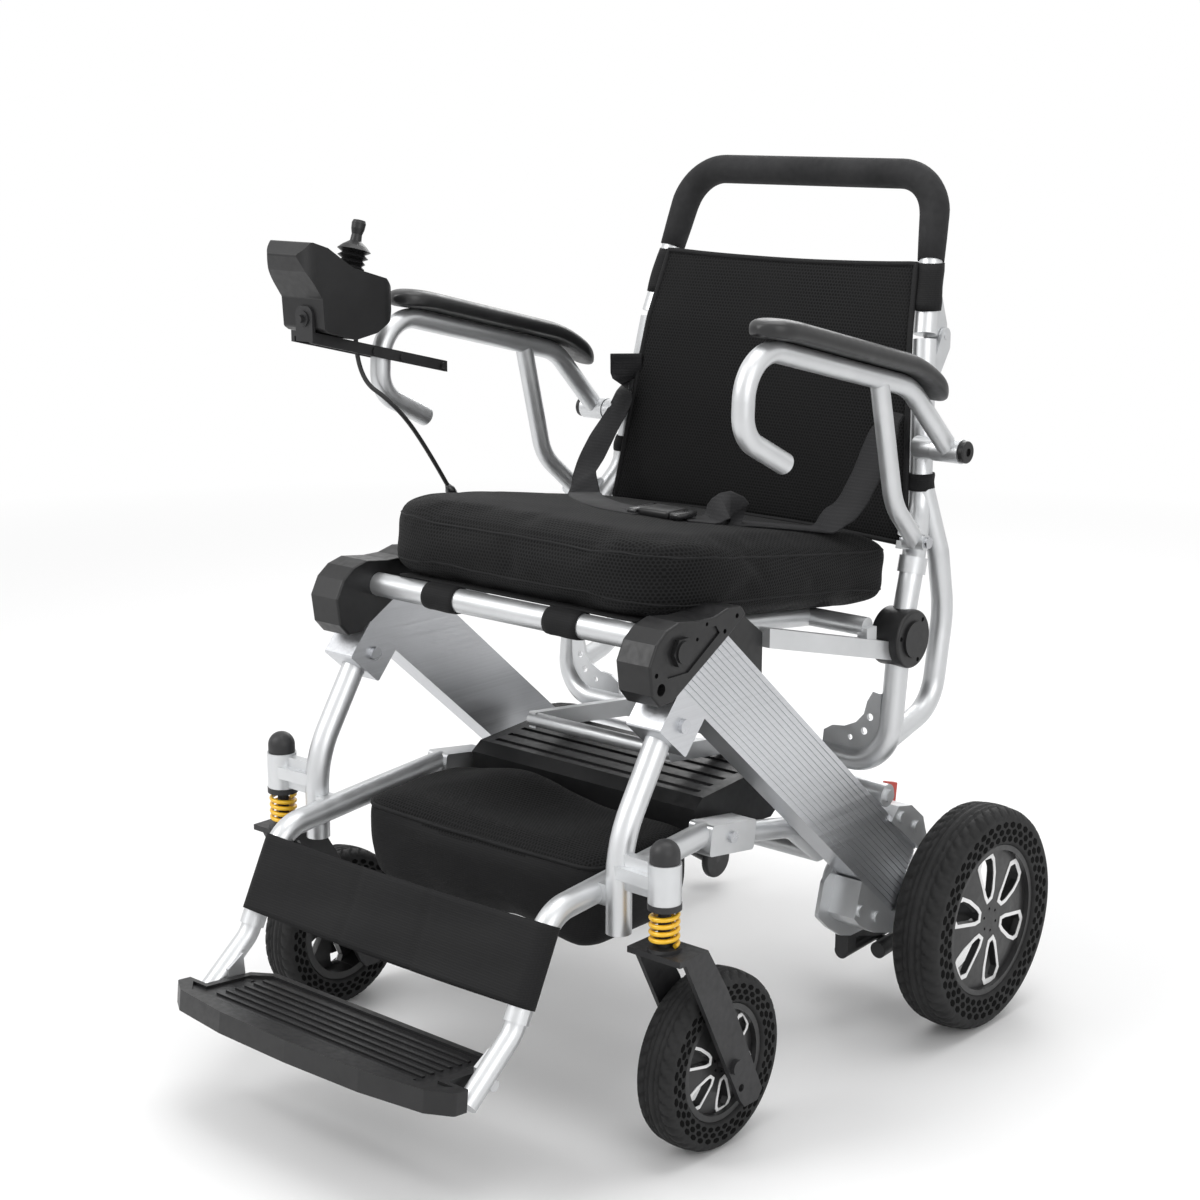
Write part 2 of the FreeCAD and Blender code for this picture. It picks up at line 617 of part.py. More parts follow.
def foam_grip():
    low, top = upper_at(FOAM_LOW), (HANDLE_X, HANDLE_Y, HANDLE_Z)
    pts = [low, top, (-top[0], top[1], top[2]), (-low[0], low[1], low[2])]
    outer, inner = tube(pts, [HANDLE_R, HANDLE_R], FOAM_D), None
    a, b = upper_at(FOAM_LOW - 5), None
    inner = tube([a, top, (-top[0], top[1], top[2]), (-a[0], a[1], a[2])], [HANDLE_R, HANDLE_R], TUBE_D + 2 * SOFT_GAP)
    return outer.cut(inner)


FABRIC_LOW = 548.0
FABRIC_TOP = FOLD_Z + 0.4561 * UPPER_H


def panel(centre, z0, z1):
    """Sling panel between the posts, a thin slab in front of them."""
    a, b = centre(z0), centre(z1)
    xa, xb = a[0] + 1.0, b[0] + 1.0
    off = -TUBE_D / 2 - FABRIC_T - SOFT_GAP
    pts = [V(-xa, a[1] + off, z0), V(xa, a[1] + off, z0), V(xb, b[1] + off, z1), V(-xb, b[1] + off, z1)]
    face = Part.Face(Part.makePolygon(pts + pts[:1]))
    return face.extrude(V(0, FABRIC_T, 0))


def sleeve(centre, z0, z1):
    a, b = centre(z0), centre(z1)
    w = Part.Wire([Part.makeLine(V(*a), V(*b))])
    ax = V(*b).sub(V(*a)).normalize()
    lo, hi = V(*a).sub(ax * 5), V(*b).add(ax * 5)
    inner = sweep(Part.Wire([Part.makeLine(lo, hi)]), TUBE_D + 2 * SOFT_GAP)
    return sweep(w, TUBE_D + 2 * SOFT_GAP + 2 * WRAP_T).cut(inner)


def back_fabric(upper):
    if upper:
        cen, z0, z1, s0, s1 = upper_at, FOLD_Z + 1.0, FABRIC_TOP, FABRIC_TOP - 29.0, FABRIC_TOP
    else:
        cen, z0, z1, s0, s1 = post_at, FABRIC_LOW + 18, FOLD_Z - 1.0, 656.0, 684.0
    parts = [panel(cen, z0, z1)]
    parts += both(sleeve(cen, s0, s1))
    body = fuse(parts)
    for s in (-1, 1):
        a, b = cen(z0 - 20), cen(z1 + 20)
        line = Part.Wire([Part.makeLine(V(s * a[0], a[1], a[2]), V(s * b[0], b[1], b[2]))])
        body = body.cut(sweep(line, TUBE_D + 2 * SOFT_GAP))
    hub = rod((-ARM_X, ARM_PIVOT[0], ARM_PIVOT[1]), HUB_D + 2 * SOFT_GAP, 2 * ARM_X, X)
    if upper:
        return body
    run = back_run(TUBE_D + 2 * SOFT_GAP)
    return body.cut(hub).cut(run).cut(mirror(run))


# -------------------------------------------------------------------- armrests
ARM_LINE = 0.237


def arm_z(y):
    return 762.0 - ARM_LINE * (y + 315.0)


ARM_HOOK = [(-310.0, 655.0), (-378.0, 688.0), (-374.0, arm_z(-374.0)), (-95.0, arm_z(-95.0)), ARM_PIVOT]
ARM_RADII = [34.0, 44.0, 70.0]
STRUT = [(-150.0, arm_z(-150.0)), (-116.0, 588.0), (-62.0, 541.0)]
BARREL_IN = 232.0
BARREL_OUT = 266.0


def arm_frame():
    pts = [(ARM_X, y, z) for y, z in ARM_HOOK[:-1]] + [(ARM_X + 4, ARM_PIVOT[0], ARM_PIVOT[1])]
    hook = tube(pts, ARM_RADII, ARM_D)
    strut = tube([(ARM_X,) + STRUT[0], (ARM_X,) + STRUT[1], (ARM_X - 6,) + STRUT[2]], [60.0], ARM_D - 2)
    barrel = rod((BARREL_IN, ARM_PIVOT[0], ARM_PIVOT[1]), BARREL_D, BARREL_OUT - BARREL_IN, X)
    foot = rod((ARM_X - 18, STRUT[2][0] - 1, STRUT[2][1]), 17.0, 26.0, X)
    body = fuse([hook, strut, barrel, foot])
    body = body.cut(rod((BARREL_IN - 5, ARM_PIVOT[0], ARM_PIVOT[1]), PIVOT_D + 0.1, 60, X))
    body = body.cut(rod((ARM_X - 30, STRUT[2][0] - 1, STRUT[2][1]), PIN_D + 0.1, 60, X))
    return body.cut(rod((ARM_X + 3, STRUT[2][0] - 1, STRUT[2][1]), 12.1, 20, X))


def arm_pad():
    """Contoured pad: a side profile along the tube, trimmed to a round-ended plan."""
    y0, y1 = -356.0, -36.0
    seat = ARM_D / 2 + 0.2
    top, bottom = [], []
    for i in range(9):
        y = y0 + (y1 - y0) * i / 8.0
        fall = 0.0 if y < -120 else (y + 120) ** 2 * 0.0036
        nose = -9.0 * (1 - i) if i < 1 else 0.0
        z = arm_z(y) - fall
        bottom.append((y, z + seat - 1.0 + (3.0 if i == 0 else 0.0)))
        top.append((y, z + seat + PAD_T + nose))
    body = side(bottom + top[::-1], ARM_X - PAD_W / 2, ARM_X + PAD_W / 2)
    r = PAD_W / 2
    out = box(ARM_X - r, ARM_X + r, y0 + r, y1 - r, 600, 900)
    out = fuse([out, rod((ARM_X, y0 + r, 600), 2 * r, 300), rod((ARM_X, y1 - r, 600), 2 * r, 300)])
    body = body.common(out)
    pts = [(ARM_X, y, z) for y, z in ARM_HOOK[:-1]] + [(ARM_X + 4, ARM_PIVOT[0], ARM_PIVOT[1])]
    return body.cut(tube(pts, ARM_RADII, ARM_D + 0.4)).Solids[0]


def arm_pin():
    y, z = STRUT[2][0] - 1, STRUT[2][1]
    shank = rod((ARM_X - 24, y, z), PIN_D, 30, X)
    head = rod((ARM_X + 3.2, y, z), 12.0, 9.0, X)
    return fuse([shank, head])


def pivot_caps():
    c = rod((BARREL_OUT + RUN_GAP, ARM_PIVOT[0], ARM_PIVOT[1]), BARREL_D - 2, 7.0, X)
    c = rounded(c, 2.0, lambda e: e.BoundBox.XLength < 0.01)
    c = c.cut(rod((BARREL_OUT + 4.5, ARM_PIVOT[0], ARM_PIVOT[1]), 9.0, 6.0, X))
    return both(c)


# --------------------------------------------------------- rails and footrest
HANG_TOP, HANG_LOW = (-585.0, 258.0), (-631.0, 165.0)


def hang_dir():
    dy, dz = HANG_LOW[0] - HANG_TOP[0], HANG_LOW[1] - HANG_TOP[1]
    n = sqrt(dy * dy + dz * dz)
    return dy / n, dz / n


def hanger_run(d):
    hx = HANGER_X
    return tube([(hx, -352, 277), (hx, -468, 268), (hx,) + HANG_TOP, (hx,) + HANG_LOW], [300, 42], d)


def lower_rails():
    hx = HANGER_X
    front = hanger_run(TUBE_D)
    block = box(hx - BLOCK_W / 2, hx + BLOCK_W / 2, -360, -286, 252, 284)
    block = rounded(turned(block, (hx, -323, 268), X, -8), 4.0, along(X))
    rear = tube([(hx, -300, 264), (hx, -205, 246), (hx, -150, 204)], [60], TUBE_D - 3)
    stub = rod((hx, CASTER_Y, HEAD_Z0 - 6), 14, LEG_X - hx, X)
    lug = box(hx - 2, LEG_X, CASTER_Y - 10, CASTER_Y + 10, HEAD_Z0 - 17, HEAD_Z0 + 4)
    half = fuse([front, block, rear, lug])
    half = half.cut(leg_run(TUBE_D))
    d = hang_dir()
    p = V(hx, HANG_LOW[0] + 2 * d[0], HANG_LOW[1] + 2 * d[1])
    bore = Part.makeCylinder(LOWER_D / 2 + 0.1, 74.0, p, V(0, -d[0], -d[1]))
    half = half.cut(bore)
    cross = rod((-hx, -150, 204), TUBE_D - 3, 2 * hx, X)
    return fuse([half, mirror(half), cross])


def calf_strap():
    d = hang_dir()
    r = TUBE_D / 2 + SOFT_GAP
    t = 2.0
    length = 78.0
    outer = box(-HANGER_X, HANGER_X, -r - t, r + t, 0, length)
    for s in (-1, 1):
        outer = outer.fuse(rod((s * HANGER_X, 0, 0), 2 * (r + t), length))
    inner = box(-HANGER_X, HANGER_X, -r, r, -1, length + 1)
    for s in (-1, 1):
        inner = inner.fuse(rod((s * HANGER_X, 0, -1), 2 * r, length + 2))
    back = box(30 - HANGER_X, HANGER_X - 30, 0, r + t + 1, -1, length + 1)
    band = outer.cut(inner).cut(back).removeSplitter()
    ang = degrees(atan2(-d[0], -d[1]))
    band = turned(band, (0, 0, 0), X, -ang)
    down = length + 10
    band = moved(band, 0, HANG_TOP[0] + d[0] * down, HANG_TOP[1] + d[1] * down)
    clear = hanger_run(TUBE_D + 2 * SOFT_GAP)
    return band.cut(clear).cut(mirror(clear))


def lower_hangers():
    d = hang_dir()
    hx = HANGER_X
    up = (hx, HANG_LOW[0] - 58 * d[0], HANG_LOW[1] - 58 * d[1])
    knee = (hx, HANG_LOW[0] + 10 * d[0], HANG_LOW[1] + 10 * d[1])
    run = tube([up, knee, (hx, -698, 105.5)], [34], LOWER_D)
    half = [run]
    lug = side([(FOOT_PIVOT[0] - 12, FOOT_PIVOT[1] - 8), (FOOT_PIVOT[0] + 8, FOOT_PIVOT[1] - 9),
                (FOOT_PIVOT[0] + 8, FOOT_PIVOT[1] + 10), (FOOT_PIVOT[0] + 6, FOOT_PIVOT[1] + 32),
                (FOOT_PIVOT[0] - 14, FOOT_PIVOT[1] + 20)], hx - 13, hx - 9)
    half.append(lug)
    half.append(rod((hx - 24, FOOT_PIVOT[0], FOOT_PIVOT[1]), BOLT_D, 22, X))
    half.append(rod((hx - 5, FOOT_PIVOT[0], FOOT_PIVOT[1]), 12, 4, X))
    half.append(rod((hx - 9.5, FOOT_PIVOT[0], FOOT_PIVOT[1]), BOLT_D + 3, 10, X))
    half = fuse(half)
    return both(half)


def footplate():
    w, wing = PLATE_W / 2.0, PLATE_WING / 2.0
    y0, y1, yw = -744.0, PLATE_BACK, -706.0
    pts = [(-w, y1 - 18), (-w + 20, y1), (w - 20, y1), (w, y1 - 18), (w, yw), (wing, yw), (wing, y0 + 22), (wing - 24, y0 + 6), (wing * 0.5, y0 - 5),
           (0, y0 - 8), (-wing * 0.5, y0 - 5), (-wing + 24, y0 + 6), (-wing, y0 + 22), (-wing, yw), (-w, yw)]
    z0 = FOOT_PIVOT[1] - PLATE_T / 2
    body = plan(pts, z0, z0 + PLATE_T)
    body = rounded(body, 5.0, lambda e: along(Z)(e) and e.CenterOfMass.y < y0 + 30)
    tray = plan([(-w + 8, y1 - 24), (-w + 24, y1 - 8), (w - 24, y1 - 8), (w - 8, y1 - 24), (w - 8, yw - 6), (wing - 12, yw - 6), (wing - 30, y0 + 16),
                 (-wing + 30, y0 + 16), (-wing + 12, yw - 6), (-w + 8, yw - 6)], z0 + PLATE_T - 3, z0 + PLATE_T + 1)
    body = body.cut(tray)
    hollow = plan([(-w + 24, y1 - 5), (w - 24, y1 - 5), (w - 6, y1 - 23), (w - 6, y0 + 14), (-w + 6, y0 + 14),
                   (-w + 6, y1 - 23)], z0 - 1, z0 + PLATE_T - 7)
    body = body.cut(hollow)
    ribs = []
    for i in range(7):
        y = y1 - 22 - i * 12
        ribs.append(box(-w + 26, w - 26, y - 2, y + 2, z0 + PLATE_T - 3, z0 + PLATE_T - 1))
    for s in (-1, 1):
        a = s * (w - 18)
        ribs.append(rod((min(a, s * w) , FOOT_PIVOT[0], FOOT_PIVOT[1]), 18.0, 18.0, X))
    body = fuse([body] + ribs)
    body = turned(body, (0,) + FOOT_PIVOT, X, -PLATE_TILT)
    cut = rod((-wing, FOOT_PIVOT[0], FOOT_PIVOT[1]), BOLT_D + 0.1, 2 * wing, X)
    return body.cut(cut)


# ----------------------------------------------------------- rear axle, drives
PLATE_X = BEAM_IN - 5.0
PLATE_TH = 5.0
MOTOR_D = 62.0
GEAR_X = BEAM_OUT + 5.0
SHAFT_OUT = 12.0
LEVER_X = 184.6
LEVER_T = 5.8
GEAR_D = 84.0
TIP_D = 17.0
TIP_X = 184.0
ROLLER_D = 50.0
BAG_Z0 = 168.0
BAG_Z1 = 266.0
ROLLER_Y = 128.0
ROLLER_Z = 38.0
BAR_Y = -92.0
LINK_X = 96.0


def axle_frame():
    ay, az = AXLE_Y, REAR_D / 2.0
    plate = side([(-170, 138), (-160, 176), (-64, 236), (-34, 232), (ay + 40, az + 40), (ay + 42, az - 6),
                  (ay + 20, az - 40), (ay - 26, az - 44), (-126, 104), (-150, 120)], PLATE_X, PLATE_X + PLATE_TH)
    plate = rounded(plate, 6.0, along(X))
    low = [(-151, 139), (-138, 178), (-60, 112), (-66, 98), (-112, 112), (-140, 128)]
    up = [(-84, 232), (-70, 246), (-44, 241), (-20, 222), (-11, 196), (-22, 184)]
    cheeks = [side(pts, PLATE_X, BEAM_OUT + 4) for pts in (low, up)]
    bolts = [rod((BEAM_OUT + 3, y, z), 13, 4, X) for y, z in ((-140, 145), (-108, 129), (-64, 232), (-34, 214))]
    bar_z = on_beam(0, BEAM_H + TUBE_D / 2)[1] - (BAR_Y - on_beam(0, BEAM_H + TUBE_D / 2)[0]) * tan(SLOPE)
    bar = rod((-BEAM_OUT - 3, BAR_Y, bar_z), TUBE_D, 2 * BEAM_OUT + 6, X)
    end = rod((BEAM_OUT + 2, BAR_Y, bar_z), 14, 5, X)
    ear = side([(BAR_Y - 12, bar_z), (BAR_Y + 12, bar_z), (-70, 225), (-118, 215)], PLATE_X, PLATE_X + 3)
    half = fuse([plate, ear, end] + cheeks + bolts + tip_arm())
    half = half.cut(side([on_beam(-10, 0), on_beam(-10, BEAM_H), BEAM_ENDS[2], BEAM_ENDS[3]], BEAM_IN, BEAM_OUT))
    half = half.cut(rod((PLATE_X - 1, ay, az), MOTOR_D + 2 * RUN_GAP, 60, X))
    return fuse([half, mirror(half), bar])


def tip_arm():
    """Arm of one anti-tip roller, with a short foot tube beside it."""
    arm = tube([(TIP_X, -98, 72), (TIP_X, 60, 80), (TIP_X, ROLLER_Y, ROLLER_Z)], [40], TIP_D)
    foot = tube([(TIP_X + 21, -56, 66), (TIP_X + 21, -6, 70)], [], TIP_D + 2)
    link = rod((TIP_X, -30, 70), 9, 21, X)
    stub = box(TIP_X - 4, PLATE_X, -104, -88, 74, 118)
    axle = rod((TIP_X - 20, ROLLER_Y, ROLLER_Z), 8.0, 16, X)
    return [arm, foot, link, stub, axle]


def motor():
    ay, az = AXLE_Y, REAR_D / 2.0
    can = rod((124, ay, az), MOTOR_D, GEAR_X - 124, X)
    can = rounded(can, 4.0, lambda e: e.BoundBox.XMax < 125)
    gear = rod((GEAR_X, ay, az), GEAR_D, 26, X)
    shaft = rod((GEAR_X, ay, az), REAR_BORE, REAR_X + SHAFT_OUT - GEAR_X, X)
    tower = box(LEVER_X - 4.6, LEVER_X + 9.4, ay - 9, ay + 9, az + 26, az + 44)
    body = fuse([can, gear, shaft, tower])
    slot = box(LEVER_X - 0.2, LEVER_X + LEVER_T + 0.2, ay - 12, ay + 12, az + 34, az + 50)
    pin = rod((LEVER_X - 5.6, ay, az + 40), 4.0, 16, X)
    return fuse([body.cut(slot), pin])


def freewheel_lever():
    ay, z = AXLE_Y, REAR_D / 2.0 + 40
    arm = side([(ay - 5, z - 1), (ay - 2, z - 5), (ay + 2, z - 5), (ay + 5, z - 1), (ay + 5, z + 24), (ay + 15, z + 44),
                (ay + 20, z + 83), (ay - 1, z + 89), (ay - 6, z + 44), (ay - 5, z + 24)], LEVER_X, LEVER_X + LEVER_T)
    arm = rounded(arm, 2.0, lambda e: along(X)(e) and e.CenterOfMass.z > z + 40)
    return arm.cut(rod((LEVER_X - 5, ay, z), 4.1, 16, X))


def roller():
    r = ring((TIP_X - 20.0, ROLLER_Y, ROLLER_Z), ROLLER_D, 8.1, 9.6, X)
    return rounded(r, 3.0, lambda e: e.Length > 100)


def battery_box():
    hx = HANGER_X - TUBE_D / 2
    pts = [(-330, 256), (-200, 250), (-184, 262), (-186, 300), (-205, 309), (-318, 300), (-332, 290)]
    body = side(pts, -hx + 16, hx - 16)
    for i in range(6):
        y = -310 + 21 * i
        body = body.cut(box(-hx + 30, hx - 30, y, y + 7, 301 + 0.08 * (y + 310) - 2, 330))
    foot = box(BLOCK_W / 2 - HANGER_X, HANGER_X - BLOCK_W / 2, -318, -300, 256, 264)
    return fuse([body, foot])


def storage_bag():
    w0, w1 = HANGER_X - BLOCK_W / 2 - SOFT_GAP, 138.0
    z0, z1 = BAG_Z0, BAG_Z1
    pts = [V(x, -500, z) for x, z in ((-w0, z1), (w0, z1), (w0, z0 + 34), (w1, z0), (-w1, z0), (-w0, z0 + 34))]
    body = Part.Face(Part.makePolygon(pts + pts[:1])).extrude(V(0, 162, 0))
    return rounded(body, 12.0, lambda e: along(Z)(e) and e.CenterOfMass.y < -499)


def link_bars():
    """Flat fore-aft folding links from the rear loop to the middle of the frame."""
    out = []
    for s in (-1, 1):
        x0 = s * LINK_X - 5
        bar = side([(-300, 322), (-300, 340), (U_Y - 10, 318), (U_Y - 6, U_Z + TUBE_D / 2 + 0.3),
                    (U_Y - 30, U_Z + 4)], x0, x0 + 10)
        out.append(bar)
    cross = rod((-LINK_X - 5, -296, 331), 16, 2 * LINK_X + 10, X)
    ears = [ring((s * LINK_X - 5, U_Y, U_Z), TUBE_D + 9, TUBE_D + 0.6, 10, X) for s in (-1, 1)]
    body = fuse(out + [cross] + ears)
    return body.cut(rod((-150, U_Y, U_Z), TUBE_D + 0.6, 300, X))


def frame_bolts():
    b = rod((LEG_X - BRACKET_W / 2 - 3, LEG_PIVOT[0], LEG_PIVOT[1]), BOLT_D, BRACKET_W + 6, X)
    h = rod((LEG_X + BRACKET_W / 2, LEG_PIVOT[0], LEG_PIVOT[1]), 14, 5, X)
    h2 = rod((LEG_X - BRACKET_W / 2 - 5, LEG_PIVOT[0], LEG_PIVOT[1]), 14, 5, X)
    rb = rod((HANGER_X + BLOCK_W / 2, -326, 270), 12, 4, X)
    return both(fuse([b, h, h2])) + both(rb)


# ------------------------------------------------------------------- joystick
BAR_FRONT, BAR_REAR = (-488.0, 757.0), (-291.0, 710.0)
BAR_H = 12.0
TILT_BOLT = (-242.0, 776.0)


def bar_at(y):
    return BAR_FRONT[1] + (BAR_REAR[1] - BAR_FRONT[1]) * (y - BAR_FRONT[0]) / (BAR_REAR[0] - BAR_FRONT[0])


def slat(y0, y1, up, low, x0, x1):
    return side([(y0, bar_at(y0) + low), (y0, bar_at(y0) + up), (y1, bar_at(y1) + up), (y1, bar_at(y1) + low)], x0, x1)


def pod_bracket():
    """Bar beside the armrest tube, its clamp, and the shelf and tab that carry the pod."""
    h = BAR_H / 2
    near = STICK_X + ARM_D / 2 + 0.3
    far = STICK_X - ARM_D / 2 - 0.3
    parts = [slat(BAR_FRONT[0], BAR_REAR[0], h, -h, near, near + 5),
             slat(BAR_FRONT[0], -358, h, -h, far - 5, far),
             slat(BAR_FRONT[0], -424, h, 0, far - 5, near + 5)]
    for y in (-400.0, -359.5):
        parts.append(rod((far - 7, y, bar_at(y)), 8, near - far + 14, X))
    parts.append(rod((near + 4, BAR_REAR[0] - 8, bar_at(BAR_REAR[0] - 8)), 7, 5, X))
    tab = box(TILT_BOLT[0] - 13, TILT_BOLT[0] + 13, BAR_FRONT[0], BAR_FRONT[0] + 4, 752, TILT_BOLT[1] + 13)
    tab = rounded(tab, 9.0, lambda e: along(Y)(e) and e.CenterOfMass.z > TILT_BOLT[1])
    parts.append(tab)
    at = (TILT_BOLT[0], BAR_FRONT[0], TILT_BOLT[1])
    parts += [rod((at[0], at[1] - 2, at[2]), 16, 2.5, Y), rod((at[0], at[1] - 7, at[2]), 8, 6, Y),
              rod((at[0], at[1] + 1, at[2]), 6, 16, Y)]
    return fuse(parts)


POD_PROFILE = [(-513, 843), (-499, 856), (-477, 849), (-449, 831), (-441, 826.6), (-395, 813.4), (-384, 803), (-379, 788),
               (-390, 768), (-410, 757), (-440, 752), (-478, 762), (-484, 766), (-486, 797), (-506, 826)]
STICK_TILT = 16.0
PIVOT = (STICK_X, STICK_Y, STICK_Z)


def tilted(shape):
    return turned(shape, PIVOT, X, -STICK_TILT)


def pod():
    w = POD_W / 2.0
    body = side(POD_PROFILE, STICK_X - w, STICK_X + w)
    body = rounded(body, 4.0, lambda e: along(X)(e) and e.CenterOfMass.z > 764)
    y0, y1 = -516.0, -377.0
    trim = box(STICK_X - w, STICK_X + w, y0, y1, 740, 870)
    trim = rounded(trim, 22.0, along(Z))
    body = body.common(trim)
    body = fuse([body, rod((STICK_X,) + LEAD_EXIT, 10.0, 16.0)])
    well = tilted(rod((STICK_X, STICK_Y, STICK_Z - 26), GIMBAL_D + 6, 34))
    collar = tilted(ring((STICK_X, STICK_Y, STICK_Z - 3), GIMBAL_D + 12, GIMBAL_D + 6, 3.5))
    body = fuse([body, collar]).cut(well)
    trunnion = [tilted(rod((STICK_X + s * (GIMBAL_D / 2 + 1.5) - 5.5, STICK_Y, STICK_Z - 8), 4.0, 11.0, X)) for s in (-1, 1)]
    body = fuse([body] + trunnion)
    for at in BUTTONS:
        p, n = button_place(at)
        body = body.cut(Part.makeCylinder(at[2] / 2 + 0.1, 12.0, p.sub(n * 5.0), n))
    return body.cut(pod_bracket())


BUTTONS = [(-17.0, 0.5, 11.0), (0.0, 0.5, 11.0), (17.0, 0.5, 11.0)]


def button_place(at):
    a, b = V(STICK_X, *POD_PROFILE[2]), V(STICK_X, *POD_PROFILE[3])
    n = V(0, a.z - b.z, b.y - a.y).normalize()
    p = a.add(b.sub(a) * at[1])
    return V(p.x + at[0], p.y, p.z), n


def button(at):
    p, n = button_place(at)
    return Part.makeCylinder(at[2] / 2.0, 5.0, p.sub(n * 3.0), n)


def gimbal():
    r = ring((STICK_X, STICK_Y, STICK_Z - 11), GIMBAL_D, GIMBAL_D - 10, 6)
    r = r.cut(rod((STICK_X - 30, STICK_Y, STICK_Z - 8), 4.1, 60, X))
    pins = [rod((STICK_X, STICK_Y + s * (GIMBAL_D / 2 - 8.5) - 5.5, STICK_Z - 8), 3.0, 11.0, Y) for s in (-1, 1)]
    return tilted(fuse([r] + pins))


def stick():
    z0 = STICK_Z - 8
    ball = Part.makeSphere(8.0, V(STICK_X, STICK_Y, z0))
    shaft = rod((STICK_X, STICK_Y, z0), 8, KNOB_Z - z0 - 10)
    knob = [(0, 0), (6, 0), (6.2, 5), (5.6, 12), (7.2, 18), (7.6, 24), (6.5, 27), (0, 28)]
    def spun(profile, base):
        pts = [V(STICK_X + r, STICK_Y, base + z) for r, z in profile]
        return Part.Face(Part.makePolygon(pts + pts[:1])).revolve(V(STICK_X, STICK_Y, 0), Z, 360)
    grip = spun(knob, KNOB_Z - 28)
    bell = [(3, 0), (14, 0), (14.5, 1.5), (11, 4), (14.5, 7), (11, 10), (16.5, 13), (12, 16.5), (18, 20), (13, 25), (6, 30), (3, 30)]
    boot = spun(bell, STICK_Z + 3)
    body = fuse([ball, shaft, grip, boot])
    return tilted(body.cut(rod((STICK_X, STICK_Y - 30, z0), 3.1, 60, Y)))


# -------------------------------------------------------------- belt and lead
def lap_belt():
    """Two webbing straps lying on the cushion with their joined buckle."""
    z = CUSHION_Z + CUSHION_T + SOFT_GAP
    out = []
    for s in (-1, 1):
        band = plan([(s * 20, -210), (s * 20, -172), (s * 190, -112), (s * 190, -152)], z, z + 2.0)
        out.append(band)
    buckle = box(-34, 34, -210, -172, z, z + 9)
    buckle = rounded(buckle, 3.0, lambda e: e.BoundBox.XLength < 0.01)
    return on_seat(fuse(out + [buckle]))


LEAD_EXIT = (-412.0, 753.0)
LEAD = [(STICK_X,) + LEAD_EXIT, (STICK_X, LEAD_EXIT[0], 708), (STICK_X + 21, -378, 678), (STICK_X + 21, -335, 632),
        (STICK_X + 23, -298, 576)]


def lead():
    radii = []
    pts = [V(*p) for p in LEAD]
    for i in range(1, len(pts) - 1):
        a, b = pts[i - 1].sub(pts[i]), pts[i + 1].sub(pts[i])
        half = a.getAngle(b) / 2.0
        r = min(0.45 * min(a.Length, b.Length) * tan(half), 220.0)
        radii.append(r)
        print("lead radius %.1f" % r)
    run = tube(LEAD, radii, LEAD_D)
    d = pts[-1].sub(pts[-2]).normalize()
    plug = Part.makeCylinder(6.0, 26.0, pts[-1].sub(d * 4), d)
    return fuse([run, plug])


# --------------------------------------------------------------------- export
def main():
    os.makedirs("parts", exist_ok=True)
    rear_at = (REAR_X, AXLE_Y, REAR_D / 2.0)
    front_at = (CASTER_X, WHEEL_Y, WHEEL_Z)
    pairs = {
        "beam": beam(), "leg": leg(), "housing": housing(), "motor": motor(),
        "arm_frame": arm_frame(), "arm_pad": arm_pad(), "arm_pin": arm_pin(),
        "caster_stem": caster_stem(), "caster_spring": caster_spring(), "caster_fork": caster_fork(),
        "front_tyre": tyre(FRONT_D, FRONT_W, FRONT_RIM_D, front_at),
        "front_rim": rim(FRONT_RIM_D, FRONT_W, FRONT_BORE + 0.1, front_at, 28.0, True),
        "rear_tyre": tyre(REAR_D, REAR_W, REAR_RIM_D, rear_at),
        "rear_rim": rim(REAR_RIM_D, REAR_W, REAR_BORE + 0.1, rear_at, 36.0, False),
        "freewheel_lever": freewheel_lever(), "anti_tip_roller": roller(),
    }
    for name, shape in pairs.items():
        export(name + "_left", shape)
        export(name + "_right", mirror(shape))
    single = {
        "seat_frame": seat_frame, "seat_sling": seat_sling, "cushion": cushion, "axle_frame": axle_frame,
        "battery_box": battery_box, "lower_rails": lower_rails, "calf_strap": calf_strap,
        "storage_bag": storage_bag, "back_lower": back_lower, "disc_hinges": disc_hinges,
        "back_fabric_lower": lambda: back_fabric(False), "back_fabric_upper": lambda: back_fabric(True),
        "back_upper": back_upper, "foam_grip": foam_grip, "pivot_caps": pivot_caps,
        "lap_belt": lap_belt, "frame_bolts": frame_bolts, "link_bars": link_bars,
        "lower_hangers": lower_hangers, "footplate": footplate, "pod_bracket": pod_bracket, "pod": pod,
        "gimbal": gimbal, "stick": stick, "power_button": lambda: button(BUTTONS[0]),
        "horn_button": lambda: button(BUTTONS[1]), "speed_button": lambda: button(BUTTONS[2]),
        "joystick_lead": lead,
    }
    for name, make in single.items():
        export(name, make())


main()
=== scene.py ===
import json
import math
import random

import bpy
import bmesh
from mathutils import Matrix, Vector
from mathutils.bvhtree import BVHTree


